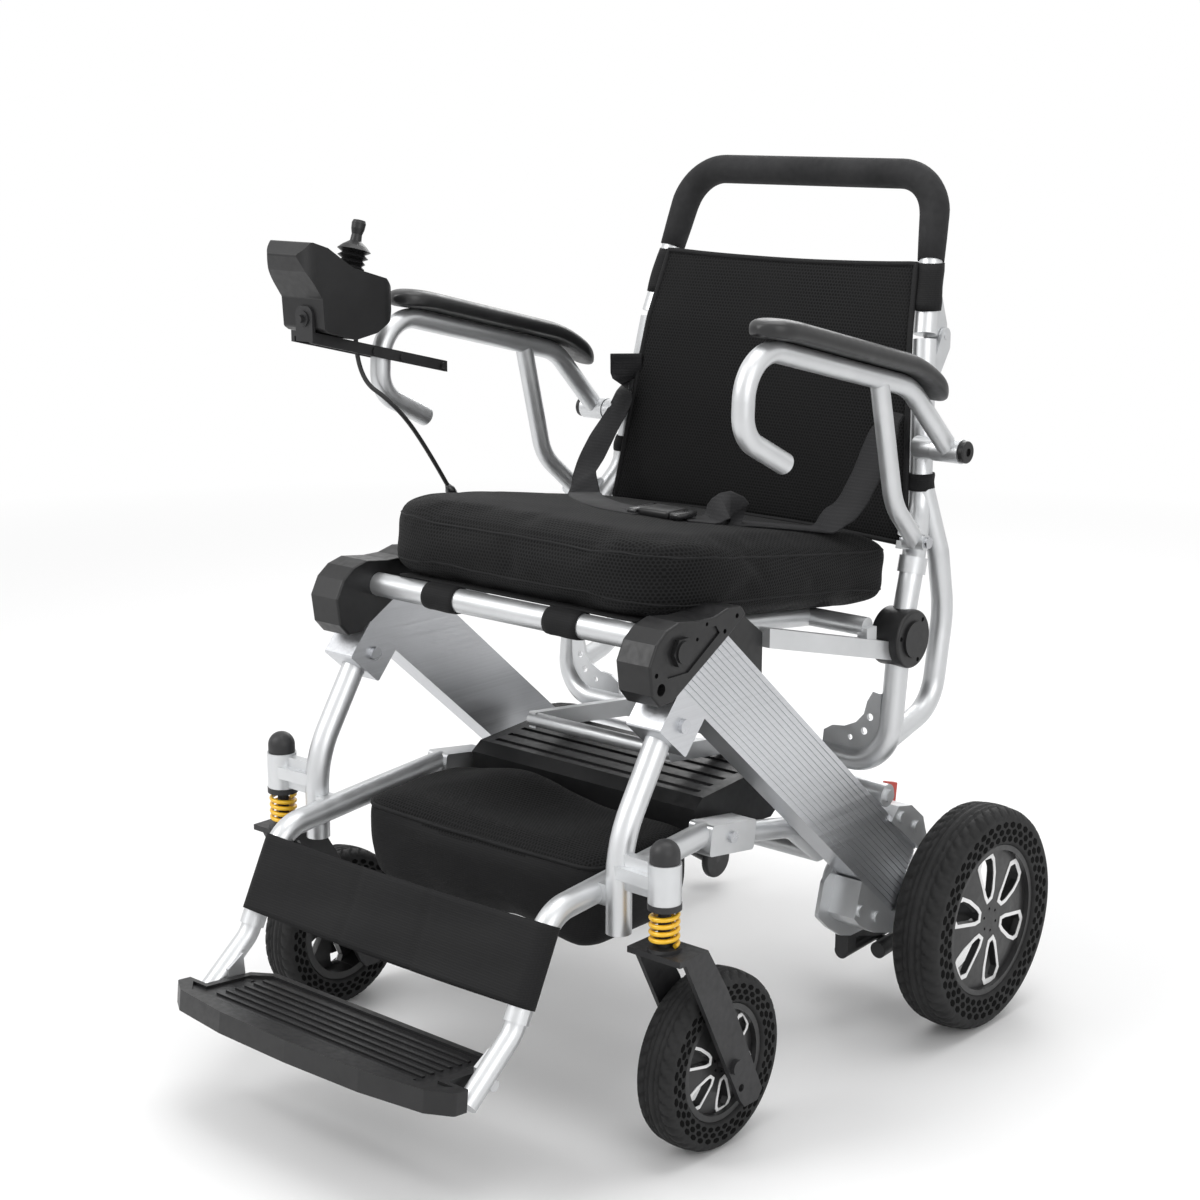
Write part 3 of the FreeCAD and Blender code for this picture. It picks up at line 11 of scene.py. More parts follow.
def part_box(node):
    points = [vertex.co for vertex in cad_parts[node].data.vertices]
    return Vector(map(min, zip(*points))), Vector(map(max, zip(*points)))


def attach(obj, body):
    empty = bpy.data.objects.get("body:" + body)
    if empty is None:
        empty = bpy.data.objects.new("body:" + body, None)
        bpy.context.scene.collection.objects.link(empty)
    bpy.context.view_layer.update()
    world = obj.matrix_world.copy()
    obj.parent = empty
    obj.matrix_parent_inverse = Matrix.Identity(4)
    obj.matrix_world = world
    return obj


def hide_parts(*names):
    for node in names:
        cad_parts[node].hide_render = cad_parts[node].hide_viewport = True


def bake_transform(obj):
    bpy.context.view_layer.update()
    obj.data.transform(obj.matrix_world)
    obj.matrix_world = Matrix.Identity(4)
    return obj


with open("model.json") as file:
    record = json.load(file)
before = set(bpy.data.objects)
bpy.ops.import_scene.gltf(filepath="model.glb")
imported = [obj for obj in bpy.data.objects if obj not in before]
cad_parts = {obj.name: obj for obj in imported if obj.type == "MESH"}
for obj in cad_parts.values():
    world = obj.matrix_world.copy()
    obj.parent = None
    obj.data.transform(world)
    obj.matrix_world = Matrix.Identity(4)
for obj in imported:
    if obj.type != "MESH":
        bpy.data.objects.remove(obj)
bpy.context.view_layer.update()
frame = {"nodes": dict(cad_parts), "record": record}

random.seed(7)
OY = 0.29975          # the model's middle, from the datum that the lengths below are drawn about
MM = 0.001


def P(x, y, z):
    """A point given in millimetres about the frame's datum."""
    return Vector((x * MM, y * MM + OY, z * MM))


# ------------------------------------------------------------------- camera
AZIMUTH, ELEVATION, ROLL = math.radians(40.90), math.radians(12.88), math.radians(0.115)
FOCAL = 65.27
CAMERA_AT = Vector((1.47281, -1.99756 + OY, 0.99493))


def make_camera():
    """The camera looks along its azimuth and elevation, rolled a little."""
    back = Vector((math.sin(AZIMUTH) * math.cos(ELEVATION), -math.cos(AZIMUTH) * math.cos(ELEVATION),
                   math.sin(ELEVATION)))
    right = Vector((0, 0, 1)).cross(back).normalized()
    up = back.cross(right)
    c, s = math.cos(ROLL), math.sin(ROLL)
    x, y = right * c + up * s, up * c - right * s
    cam = bpy.data.objects.new("camera", bpy.data.cameras.new("camera"))
    cam.data.lens, cam.data.sensor_width = FOCAL, 36.0
    cam.data.clip_end = 60.0
    cam.matrix_world = Matrix.Translation(CAMERA_AT) @ Matrix((x, y, back)).transposed().to_4x4()
    bpy.context.scene.collection.objects.link(cam)
    bpy.context.scene.camera = cam


# ----------------------------------------------------------- node materials
class Nodes:
    """Short hand for building one material's nodes."""

    def __init__(self, name):
        self.mat = bpy.data.materials.new(name)
        self.mat.use_nodes = True
        self.tree = self.mat.node_tree
        self.tree.nodes.clear()
        self.out = self.tree.nodes.new("ShaderNodeOutputMaterial")
        self.bsdf = self.tree.nodes.new("ShaderNodeBsdfPrincipled")
        self.link(self.bsdf.outputs[0], self.out.inputs[0])
        self._coord = None

    def link(self, a, b):
        self.tree.links.new(a, b)

    def new(self, kind, **values):
        n = self.tree.nodes.new(kind)
        for k, v in values.items():
            setattr(n, k, v)
        return n

    def put(self, socket, value):
        if hasattr(value, "is_output") or hasattr(value, "links"):
            self.link(value, socket)
        else:
            socket.default_value = value

    def coord(self):
        if self._coord is None:
            self._coord = self.new("ShaderNodeTexCoord").outputs["Object"]
        return self._coord

    def mapped(self, scale, rotation):
        m = self.new("ShaderNodeMapping")
        self.link(self.coord(), m.inputs["Vector"])
        m.inputs["Scale"].default_value = scale
        m.inputs["Rotation"].default_value = rotation
        return m.outputs[0]

    def noise(self, scale, detail=3.0, vector=None):
        n = self.new("ShaderNodeTexNoise")
        self.link(vector or self.coord(), n.inputs["Vector"])
        n.inputs["Scale"].default_value = scale
        n.inputs["Detail"].default_value = detail
        return n.outputs[0]

    def math(self, op, a, b=0.0):
        n = self.new("ShaderNodeMath", operation=op)
        self.put(n.inputs[0], a)
        self.put(n.inputs[1], b)
        return n.outputs[0]

    def vec(self, op, a, b=None, out=0):
        n = self.new("ShaderNodeVectorMath", operation=op)
        self.put(n.inputs[0], a)
        if b is not None:
            self.put(n.inputs[3] if op == "SCALE" else n.inputs[1], b)
        return n.outputs[out]

    def ramp(self, value, stops):
        n = self.new("ShaderNodeValToRGB")
        self.link(value, n.inputs[0])
        el = n.color_ramp.elements
        while len(el) > len(stops):
            el.remove(el[-1])
        while len(el) < len(stops):
            el.new(1.0)
        for e, (p, c) in zip(el, stops):
            e.position = p
            e.color = c if len(c) == 4 else (*c, 1)
        return n.outputs[0]

    def span(self, value, a, b, c, d):
        n = self.new("ShaderNodeMapRange")
        self.link(value, n.inputs[0])
        for i, v in enumerate((a, b, c, d)):
            n.inputs[i + 1].default_value = v
        return n.outputs[0]

    def bump(self, height, strength=0.3, distance=0.001, below=None):
        n = self.new("ShaderNodeBump")
        n.inputs["Strength"].default_value = strength
        n.inputs["Distance"].default_value = distance
        self.link(height, n.inputs["Height"])
        if below is not None:
            self.link(below, n.inputs["Normal"])
        return n.outputs[0]

    def set(self, **values):
        names = {"color": "Base Color", "rough": "Roughness", "metal": "Metallic", "normal": "Normal",
                 "spec": "Specular IOR Level", "sheen": "Sheen Weight", "sheen_rough": "Sheen Roughness",
                 "coat": "Coat Weight", "coat_rough": "Coat Roughness"}
        for k, v in values.items():
            if k == "color" and isinstance(v, tuple) and len(v) == 3:
                v = (*v, 1)
            self.put(self.bsdf.inputs[names[k]], v)
        return self.mat


def paint(name, color, rough=0.36, metal=0.75, grain=2200.0, grain_height=0.00002, coat=0.15):
    n = Nodes(name)
    light = tuple(min(1.0, c * 1.05) for c in color)
    dark = tuple(c * 0.93 for c in color)
    col = n.ramp(n.noise(14.0, 4.0), [(0.3, dark), (0.7, light)])
    r = n.span(n.noise(60.0, 5.0), 0.3, 0.7, rough - 0.05, rough + 0.07)
    fine = n.noise(grain, 2.0)
    return n.set(color=col, rough=r, metal=metal, normal=n.bump(fine, 0.35, grain_height), coat=coat, coat_rough=0.25)


def brushed(name, color, angle, rough=0.33):
    """Drawn metal with fine lines along a direction that falls to the rear."""
    n = Nodes(name)
    lines = n.mapped(scale=(500.0, 4.0, 500.0), rotation=(angle, 0, 0))
    streak = n.noise(1.0, 3.0, vector=lines)
    blot = n.noise(7.0, 4.0)
    both = n.math("ADD", n.math("MULTIPLY", streak, 0.5), n.math("MULTIPLY", blot, 0.5))
    col = n.ramp(both, [(0.32, tuple(c * 0.86 for c in color)), (0.68, tuple(min(1, c * 1.08) for c in color))])
    r = n.span(streak, 0.3, 0.7, rough - 0.05, rough + 0.12)
    return n.set(color=col, rough=r, metal=0.92, normal=n.bump(streak, 0.25, 0.00008))


def plastic(name, color, rough=0.42, grain=900.0, depth=0.00005, metal=0.0, coat=0.0, spec=0.5):
    n = Nodes(name)
    dark = tuple(c * 0.8 for c in color)
    light = tuple(c * 1.25 + 0.002 for c in color)
    col = n.ramp(n.noise(22.0, 4.0), [(0.3, dark), (0.72, light)])
    r = n.span(n.noise(130.0, 4.0), 0.3, 0.7, rough - 0.06, rough + 0.08)
    vor = n.new("ShaderNodeTexVoronoi")
    n.link(n.coord(), vor.inputs["Vector"])
    vor.inputs["Scale"].default_value = grain
    return n.set(color=col, rough=r, metal=metal, normal=n.bump(vor.outputs["Distance"], 0.3, depth), coat=coat,
                 spec=spec)


def axle_finish():
    """Silver plates and bar, with the tip arms low between them powder black."""
    n = Nodes("axle_finish")
    place = n.new("ShaderNodeSeparateXYZ")
    n.link(n.coord(), place.inputs[0])
    low = n.math("LESS_THAN", place.outputs[2], 0.098)
    inner = n.math("LESS_THAN", n.math("ABSOLUTE", place.outputs[0]), 0.2455)
    black = n.math("MULTIPLY", low, inner)
    shade = n.new("ShaderNodeMix", data_type="RGBA")
    n.link(black, shade.inputs[0])
    n.link(n.ramp(n.noise(14.0, 4.0), [(0.3, (0.57, 0.58, 0.59)), (0.7, (0.65, 0.66, 0.67))]), shade.inputs[6])
    n.link(n.ramp(n.noise(22.0, 4.0), [(0.3, (0.009, 0.009, 0.0095)), (0.7, (0.017, 0.017, 0.018))]), shade.inputs[7])
    metal = n.span(black, 0.0, 1.0, 0.8, 0.0)
    rough = n.math("ADD", n.span(n.noise(60.0, 5.0), 0.3, 0.7, 0.33, 0.45), n.math("MULTIPLY", black, 0.08))
    return n.set(color=shade.outputs[2], rough=rough, metal=metal, normal=n.bump(n.noise(2200.0, 2.0), 0.35, 0.00002),
                 coat=0.1, coat_rough=0.25)


def hex_cells(n, plane, pitch):
    """Distance to the nearest cell centre of a staggered pattern, in cells."""
    swizzle = {"z": (0, 1), "y": (0, 2), "x": (1, 2)}[plane]
    sep = n.new("ShaderNodeSeparateXYZ")
    n.link(n.coord(), sep.inputs[0])
    com = n.new("ShaderNodeCombineXYZ")
    n.link(n.math("DIVIDE", sep.outputs[swizzle[0]], pitch), com.inputs[0])
    n.link(n.math("DIVIDE", sep.outputs[swizzle[1]], pitch * 1.732), com.inputs[1])
    best = None
    for shift in ((0, 0, 0), (0.5, 0.5, 0)):
        f = n.vec("FRACTION", n.vec("ADD", com.outputs[0], shift))
        d = n.vec("MULTIPLY", n.vec("SUBTRACT", f, (0.5, 0.5, 0.0)), (1.0, 1.732, 0.0))
        dist = n.vec("LENGTH", d, out=1)
        best = dist if best is None else n.math("MINIMUM", best, dist)
    return best


def mesh_cloth(name, color=(0.0105, 0.0105, 0.011), pitch=0.0040, painted_shade_in_openings=(0.0006, 0.0006, 0.0006), depth=0.0007):
    """Spacer mesh: a dark cell of painted shade in each loop, on whichever plane faces out."""
    n = Nodes(name)
    geo = n.new("ShaderNodeNewGeometry")
    ab = n.new("ShaderNodeSeparateXYZ")
    n.link(n.vec("ABSOLUTE", geo.outputs["Normal"]), ab.inputs[0])
    cell = {p: hex_cells(n, p, pitch) for p in "xyz"}
    use_x = n.math("GREATER_THAN", ab.outputs[0], n.math("MAXIMUM", ab.outputs[1], ab.outputs[2]))
    use_z = n.math("GREATER_THAN", ab.outputs[2], n.math("MAXIMUM", ab.outputs[0], ab.outputs[1]))

    def pick(factor, a, b):
        m = n.new("ShaderNodeMix", data_type="FLOAT")
        n.put(m.inputs[0], factor)
        n.put(m.inputs[2], a)
        n.put(m.inputs[3], b)
        return m.outputs[0]
    d = pick(use_x, pick(use_z, cell["y"], cell["z"]), cell["x"])
    wall = n.span(d, 0.26, 0.42, 0.0, 1.0)
    soft = n.noise(9.0, 4.0)
    dull = tuple(c * 0.75 for c in color)
    lit = tuple(c * 1.5 for c in color)
    base = n.ramp(soft, [(0.3, dull), (0.7, lit)])
    mix = n.new("ShaderNodeMix", data_type="RGBA")
    n.link(wall, mix.inputs[0])
    # the cell centres get painted shade: near-black where the mesh is open
    mix.inputs[6].default_value = (*painted_shade_in_openings, 1)
    n.link(base, mix.inputs[7])
    thread = n.noise(2600.0, 2.0)
    height = n.math("ADD", wall, n.math("MULTIPLY", thread, 0.2))
    rough = n.span(soft, 0.3, 0.7, 0.72, 0.9)
    return n.set(color=mix.outputs[2], rough=rough, normal=n.bump(height, 0.6, depth), sheen=0.02, sheen_rough=0.5,
                 spec=0.18)


def woven(name, color, thread=0.0011, rough=0.75, height=0.0003, sheen=0.02):
    """Plain weave from two crossed waves."""
    n = Nodes(name)
    a = n.new("ShaderNodeTexWave", wave_type="BANDS", bands_direction="X")
    b = n.new("ShaderNodeTexWave", wave_type="BANDS", bands_direction="Z")
    c = n.new("ShaderNodeTexWave", wave_type="BANDS", bands_direction="Y")
    for w in (a, b, c):
        n.link(n.coord(), w.inputs["Vector"])
        w.inputs["Scale"].default_value = 0.314 / thread / 2
        w.inputs["Distortion"].default_value = 0.6
        w.inputs["Detail"].default_value = 1.0
    weave = n.math("MULTIPLY", n.math("MAXIMUM", a.outputs[1], c.outputs[1]), b.outputs[1])
    soft = n.noise(12.0, 5.0)
    col = n.ramp(n.math("ADD", n.math("MULTIPLY", soft, 0.7), n.math("MULTIPLY", weave, 0.3)),
                 [(0.25, tuple(x * 0.7 for x in color)), (0.75, tuple(x * 1.45 for x in color))])
    r = n.span(soft, 0.3, 0.7, rough - 0.07, rough + 0.08)
    crease = n.noise(26.0, 3.0)
    nb = n.bump(crease, 0.25, 0.004)
    return n.set(color=col, rough=r, normal=n.bump(weave, 0.5, height, below=nb), sheen=sheen, sheen_rough=0.4, spec=0.2)


SILVER = (0.62, 0.63, 0.64)
MATS = {}


def make_materials():
    m = MATS
    m["silver"] = paint("silver_paint", SILVER, rough=0.38, metal=0.8)
    m["beam"] = brushed("drawn_alloy", (0.60, 0.61, 0.63), math.radians(-41))
    m["steel"] = paint("zinc_steel", (0.55, 0.56, 0.58), rough=0.28, metal=1.0, coat=0.0)
    m["black"] = plastic("moulded_black", (0.009, 0.009, 0.0095), rough=0.40, spec=0.4)
    m["black_gloss"] = plastic("moulded_black_gloss", (0.012, 0.012, 0.013), rough=0.27, grain=300.0, depth=0.00001,
                               coat=0.2)
    m["pad"] = plastic("arm_pad_skin", (0.012, 0.012, 0.0125), rough=0.36, grain=1400.0, depth=0.00012)
    m["foam"] = plastic("foam_grip", (0.022, 0.022, 0.023), rough=0.8, grain=1700.0, depth=0.00022, spec=0.25)
    m["mesh"] = mesh_cloth("spacer_mesh")
    m["nylon"] = woven("nylon_cloth", (0.010, 0.010, 0.0105))
    m["webbing"] = woven("belt_webbing", (0.014, 0.014, 0.015), thread=0.0016, rough=0.6, height=0.0004)
    m["piping"] = woven("seam_piping", (0.012, 0.012, 0.0125), thread=0.0009, rough=0.7)
    m["tyre"] = plastic("tyre_rubber", (0.014, 0.014, 0.0143), rough=0.72, grain=700.0, depth=0.0001, spec=0.3)
    m["rim"] = plastic("rim_black", (0.012, 0.012, 0.0125), rough=0.42, grain=500.0, depth=0.00003, coat=0.1)
    m["white"] = paint("rim_white", (0.80, 0.80, 0.80), rough=0.35, metal=0.0)
    m["yellow"] = paint("spring_yellow", (0.86, 0.50, 0.015), rough=0.32, metal=0.1, coat=0.4)
    m["fork"] = plastic("powder_black", (0.012, 0.012, 0.013), rough=0.5, grain=1200.0, depth=0.0001)
    m["red"] = plastic("lever_red", (0.62, 0.035, 0.012), rough=0.35, grain=600.0, depth=0.00002)
    m["motor"] = paint("cast_alloy", (0.50, 0.51, 0.52), rough=0.42, metal=0.9, grain=900.0, grain_height=0.00008)
    # the cell_shadow colour is painted shade for the tyre's honeycomb hollows
    m["pit"] = plastic("cell_shadow", (0.0012, 0.0012, 0.0012), rough=0.9, spec=0.1)
    m["axle"] = axle_finish()
    m["cable"] = plastic("cable_jacket", (0.016, 0.016, 0.016), rough=0.5, grain=1500.0, depth=0.00003)


SLOT_MATS = {"silver_frame": "silver", "ribbed_alloy": "beam", "steel": "steel", "black_plastic": "black",
             "pad": "pad", "foam": "foam", "mesh_fabric": "mesh", "webbing": "webbing", "tyre_rubber": "tyre",
             "rim_black": "rim", "spring_yellow": "yellow", "fork_black": "fork", "lever_red": "red",
             "motor_case": "motor", "cable": "cable"}


def dress_cad():
    where = {s["node"]: s["material_slot"] for s in frame["record"]["subparts"]}
    for node, obj in frame["nodes"].items():
        mat = MATS["axle"] if node == "axle_frame" else MATS[SLOT_MATS[where[node]]]
        for s in obj.material_slots:
            s.material = mat
        if not obj.material_slots:
            obj.data.materials.append(mat)


# ------------------------------------------------------------- mesh helpers
def turn_outward(me):
    bm = bmesh.new()
    bm.from_mesh(me)
    bmesh.ops.recalc_face_normals(bm, faces=bm.faces)
    bm.to_mesh(me)
    bm.free()


def add_mesh(name, verts, faces, mat, body, smooth=True, replaces=(), outward=True):
    """One piece of the object: its mesh and material, the body it rides, and the nodes it stands for, which are
    hidden.
    """
    me = bpy.data.meshes.new(name)
    me.from_pydata([tuple(v) for v in verts], [], faces)
    me.update()
    if outward:
        turn_outward(me)
    o = bpy.data.objects.new(name, me)
    bpy.context.scene.collection.objects.link(o)
    me.materials.append(MATS[mat])
    if smooth:
        me.polygons.foreach_set("use_smooth", [True] * len(me.polygons))
    if body:
        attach(o, body)
    if replaces:
        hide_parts(*replaces)
    return o


def grid_faces(nu, nv, wrap_u=False, wrap_v=False):
    """Quads of an nu x nv grid of points stored row by row (v outer)."""
    out = []
    for j in range(nv if wrap_v else nv - 1):
        for i in range(nu if wrap_u else nu - 1):
            a, b = j * nu + i, j * nu + (i + 1) % nu
            c, d = ((j + 1) % nv) * nu + (i + 1) % nu, ((j + 1) % nv) * nu + i
            out.append((a, b, c, d))
    return out


def grid_rim(nu, nv):
    """The points round the edge of such a grid, in order."""
    return ([i for i in range(nu)] + [j * nu + nu - 1 for j in range(1, nv)]
            + [(nv - 1) * nu + i for i in range(nu - 2, -1, -1)] + [j * nu for j in range(nv - 2, 0, -1)])


def two_layers(faces, n):
    return faces + [tuple(i + n for i in f)[::-1] for f in faces]


def shell_faces(nu, nv):
    """A thin closed sheet: two layers of nu x nv points, and the strip round their edge."""
    n = nu * nv
    rim = grid_rim(nu, nv)
    return two_layers(grid_faces(nu, nv), n) + [(a, b, b + n, a + n) for a, b in zip(rim, rim[1:] + rim[:1])]


def sleeve_faces(segs, rows):
    """A sleeve of two layers, closed at both ends."""
    n = rows * segs
    faces = two_layers(grid_faces(segs, rows, wrap_u=True), n)
    for j in (0, rows - 1):
        for k in range(segs):
            a, b = j * segs + k, j * segs + (k + 1) % segs
            faces.append((a, b, b + n, a + n))
    return faces


def bar_faces(segs, rows):
    """A closed section carried along its length, with both ends filled."""
    return grid_faces(segs, rows, wrap_u=True) + [tuple(range(segs))[::-1],
                                                  tuple(range((rows - 1) * segs, rows * segs))]


def frames_along(pts, closed=False):
    """A turning-free frame at each point of a line."""
    n = len(pts)
    tans = []
    for i in range(n):
        a = pts[(i - 1) % n] if closed or i > 0 else pts[0]
        b = pts[(i + 1) % n] if closed or i < n - 1 else pts[-1]
        tans.append((b - a).normalized())
    ref = Vector((0, 0, 1)) if abs(tans[0].z) < 0.9 else Vector((1, 0, 0))
    side = (ref - tans[0] * ref.dot(tans[0])).normalized()
    out = []
    for t in tans:
        side = (side - t * side.dot(t)).normalized()
        out.append((t, side, t.cross(side)))
    return out


def loop_tube(pts, radius, segs=8):
    """A thin round cord along a closed loop."""
    verts = []
    for p, (t, s, b) in zip(pts, frames_along(pts, closed=True)):
        for k in range(segs):
            a = 2 * math.pi * k / segs
            verts.append(p + s * (math.cos(a) * radius) + b * (math.sin(a) * radius))
    return verts, grid_faces(segs, len(pts), wrap_u=True, wrap_v=True)


def rounded_path(corners, radii, step):
    """Points along straight runs with tangent arcs at the inner corners."""
    out = [corners[0]]
    for i in range(1, len(corners) - 1):
        a = (corners[i - 1] - corners[i]).normalized()
        b = (corners[i + 1] - corners[i]).normalized()
        half = a.angle(b) / 2
        r = radii[i - 1]
        back = r / math.tan(half)
        centre = corners[i] + (a + b).normalized() * (r / math.sin(half))
        p, q = corners[i] + a * back - centre, corners[i] + b * back - centre
        ang = p.angle(q)
        ax = p.cross(q).normalized()
        k = max(3, int(ang * r / step))
        for j in range(k + 1):
            out.append(centre + Matrix.Rotation(ang * j / k, 3, ax) @ p)
    out.append(corners[-1])
    dense = [out[0]]
    for p in out[1:]:
        gap = (p - dense[-1]).length
        m = max(1, int(gap / (step * 4)))
        base = dense[-1].copy()
        for j in range(1, m + 1):
            dense.append(base.lerp(p, j / m))
    return dense


def merge(parts):
    """Several meshes as one."""
    verts, faces = [], []
    for v, f in parts:
        base = len(verts)
        verts += list(v)
        faces += [tuple(i + base for i in face) for face in f]
    return verts, faces


def box_mesh(lo, hi):
    v = [Vector((x, y, z)) for z in (lo[2], hi[2]) for y in (lo[1], hi[1]) for x in (lo[0], hi[0])]
    f = [(0, 2, 3, 1), (4, 5, 7, 6), (0, 1, 5, 4), (2, 6, 7, 3), (0, 4, 6, 2), (1, 3, 7, 5)]
    return v, f


def bevel(o, width, segments=2, angle=35):
    m = o.modifiers.new("bevel", "BEVEL")
    m.width, m.segments, m.limit_method = width, segments, "ANGLE"
    m.angle_limit = math.radians(angle)
    m.harden_normals = False


def subdivide(o):
    m = o.modifiers.new("subdivision", "SUBSURF")
    m.levels = m.render_levels = 1


def apply_modifiers(o):
    dep = bpy.context.evaluated_depsgraph_get()
    me = bpy.data.meshes.new_from_object(o.evaluated_get(dep))
    o.modifiers.clear()
    o.data = me


# ------------------------------------------------------------------- wheels
RIM_R = {"front": 0.059, "rear": 0.084}          # where the rim ends and the tyre starts
TREAD_BLOCKS = {"front": 40, "rear": 50}         # round the tread
CELL_COUNT = {"front": 36, "rear": 44}           # honeycomb cells round a sidewall
CELL_ROWS = 3
GROOVE = 0.0026                                  # depth of the ribs' grooves


def tyre(side, end):
    """Tread, shoulders and honeycomb sidewalls of one solid tyre."""
    node, wheel = "%s_tyre_%s" % (end, side), "%s_wheel_%s" % (end, side)
    lo, hi = (Vector(v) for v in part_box(node))
    centre = (lo + hi) / 2
    r, h = (hi.z - lo.z) / 2, (hi.x - lo.x) / 2
    ri = RIM_R[end]
    segs = TREAD_BLOCKS[end] * 6
    wall = [(ri, h - 0.004), (ri + 0.0015, h - 0.0012), (ri + 0.003, h)]
    wall += [(ri + 0.003 + (r * 0.90 - ri - 0.003) * k / 6, h) for k in range(1, 7)]
    wall += [(r * 0.93, h * 0.985), (r * 0.965, h * 0.86), (r * 0.985, h * 0.68)]
    across, flat = 14, h * 0.56
    crown = []
    for k in range(across + 1):
        x = flat * (1 - 2 * k / across)
        crown.append((r * (1 - 0.012 * (x / flat) ** 2), x))
    prof = wall + crown + [(rr, -x) for rr, x in wall[::-1]]
    tread = range(len(wall) - 2, len(wall) + len(crown) + 2)
    verts = []
    for s in range(segs):
        a = 2 * math.pi * s / segs
        for i, (rr, x) in enumerate(prof):
            if i in tread:
                u = abs(x / h)
                sipe = (s / 6.0 + 1.7 * u) % 1.0
                rib = 1.0 if abs(u - 0.16) < 0.03 or abs(u - 0.40) < 0.03 else 0.0
                cut = 1.0 if sipe < 0.2 and u > 0.44 else (0.6 if sipe < 0.2 and 0.2 < u < 0.36 else 0.0)
                rr = rr - GROOVE * max(rib, cut)
            verts.append(Vector((centre.x + x, centre.y + rr * math.sin(a), centre.z + rr * math.cos(a))))
    faces = grid_faces(len(prof), segs, wrap_u=True, wrap_v=True)
    add_mesh("tyre_body_%s_%s" % (end, side), verts, faces, "tyre", wheel, replaces=(node,))
    # both sidewalls: rows of dark cells, staggered; their near-black is painted shade in the honeycomb's hollows
    rows, count = CELL_ROWS, CELL_COUNT[end]
    band0, band1 = ri + 0.0035, r * 0.885
    parts = []
    for sx in (-1, 1):
        for row in range(rows):
            rad = band0 + (band1 - band0) * (row + 0.5) / rows
            size = (2 * math.pi * rad / count * 0.37, (band1 - band0) / rows * 0.50)
            for k in range(count):
                a = 2 * math.pi * (k + 0.5 * (row % 2)) / count
                c = Vector((centre.x + sx * (h + 0.0001), centre.y + rad * math.sin(a), centre.z + rad * math.cos(a)))
                parts.append(pit(c, sx, a, size))
    v, f = merge(parts)
    add_mesh("tyre_cells_%s_%s" % (end, side), v, f, "pit", wheel, smooth=False, outward=False)
    return centre, h


def pit(c, sx, a, size):
    """One closed six-sided dark cup of painted shade, lying just proud of the sidewall."""
    out = Vector((sx, 0, 0))
    u = Vector((0, math.cos(a), -math.sin(a)))
    w = Vector((0, math.sin(a), math.cos(a)))
    rim, base = [], []
    for k in range(6):
        t = math.pi / 3 * k + math.pi / 6
        d = u * math.cos(t) * size[0] + w * math.sin(t) * size[1]
        rim.append(c + d - out * 0.0006)
        base.append(c + d * 0.94 + out * 0.0003)
    verts = rim + base
    faces = [tuple(range(6)) if sx < 0 else tuple(range(6))[::-1],
             tuple(range(6, 12))[::-1] if sx < 0 else tuple(range(6, 12))]
    for k in range(6):
        q = (k, (k + 1) % 6, 6 + (k + 1) % 6, 6 + k)
        faces.append(q if sx > 0 else q[::-1])
    return verts, faces


def window_outline(r0, r1, w0, w1):
    """Outline of one rim window, across and along its spoke."""
    c = 0.18 * (r1 - r0)
    return [(-w1, r1 - c), (-w1 * 0.5, r1), (w1 * 0.8, r1 - c * 0.35), (w1, r1 - c), (w1 * 0.92, r1 - 2.4 * c),
            (w0 * 1.1, r0 + c), (w0 * 0.5, r0 + c * 0.25), (-w0 * 0.5, r0 + c * 0.1), (-w0, r0 + c * 0.8)]


def widened(pts, by):
    """The same outline moved out by a set width, with mitred corners."""
    out = []
    n = len(pts)
    area = sum(pts[i][0] * pts[(i + 1) % n][1] - pts[(i + 1) % n][0] * pts[i][1] for i in range(n))
    turn = 1 if area > 0 else -1
    for i in range(n):
        a, b, c = Vector(pts[i - 1]), Vector(pts[i]), Vector(pts[(i + 1) % n])
        n1 = Vector(((b - a).y, -(b - a).x)).normalized() * turn
        n2 = Vector(((c - b).y, -(c - b).x)).normalized() * turn
        m = (n1 + n2).normalized()
        out.append(tuple(b + m * (by / max(0.55, m.dot(n1)))))
    return out


HUB_R = {"front": 0.014, "rear": 0.018}
BORDER = {"front": 0.0030, "rear": 0.0042}       # width of the white line
WINDOWS, WINDOW_TURN = 6, 8                      # count, and the first one's angle in degrees


def window_rings(side, end, centre, h):
    """White painted border round each window, on the wheel's outer face."""
    r, border = RIM_R[end], BORDER[end]
    sx = 1 if side == "left" else -1
    inner = window_outline(HUB_R[end] + 0.08 * r, 0.865 * r, 0.07 * r, 0.155 * r)
    outer = widened(inner, border)
    # a heavier border at the tread end
    outer = [(t, q + (border * 0.45 if q > 0.7 * r else 0.0)) for t, q in outer]
    parts = []
    for k in range(WINDOWS):
        a = math.radians(360 / WINDOWS * k + WINDOW_TURN)
        verts = []
        for loop, lift in ((inner, -0.0004), (inner, 0.0007), (outer, 0.0007), (outer, -0.0004)):
            for t, q in loop:
                y, z = t * math.cos(a) - q * math.sin(a), t * math.sin(a) + q * math.cos(a)
                rad = math.hypot(y, z)
                fall = max(0.0, min(1.0, (rad - 0.5 * r) / (0.5 * r - 0.005))) * 0.003
                verts.append(Vector((centre.x + sx * (h - 0.006 - fall + lift), centre.y + y, centre.z + z)))
        parts.append((verts, grid_faces(len(inner), 4, wrap_u=True, wrap_v=True)))
    v, f = merge(parts)
    add_mesh("rim_outline_%s_%s" % (end, side), v, f, "white", "%s_wheel_%s" % (end, side),
             smooth=False)


# ------------------------------------------------------------- soft pieces
TUBE_Y, TUBE_Z, TUBE_R = -437.0, 493.0, 12.7     # front seat tube, which the seat falls back from
SEAT_FALL = 0.114
SEAT_TILT = math.atan(SEAT_FALL)
SEAT_PIVOT = P(0, TUBE_Y, TUBE_Z)


def on_seat(v):
    """A point above a level seat, turned with the seat's fall to the rear."""
    return SEAT_PIVOT + Matrix.Rotation(-SEAT_TILT, 3, "X") @ (v - SEAT_PIVOT)


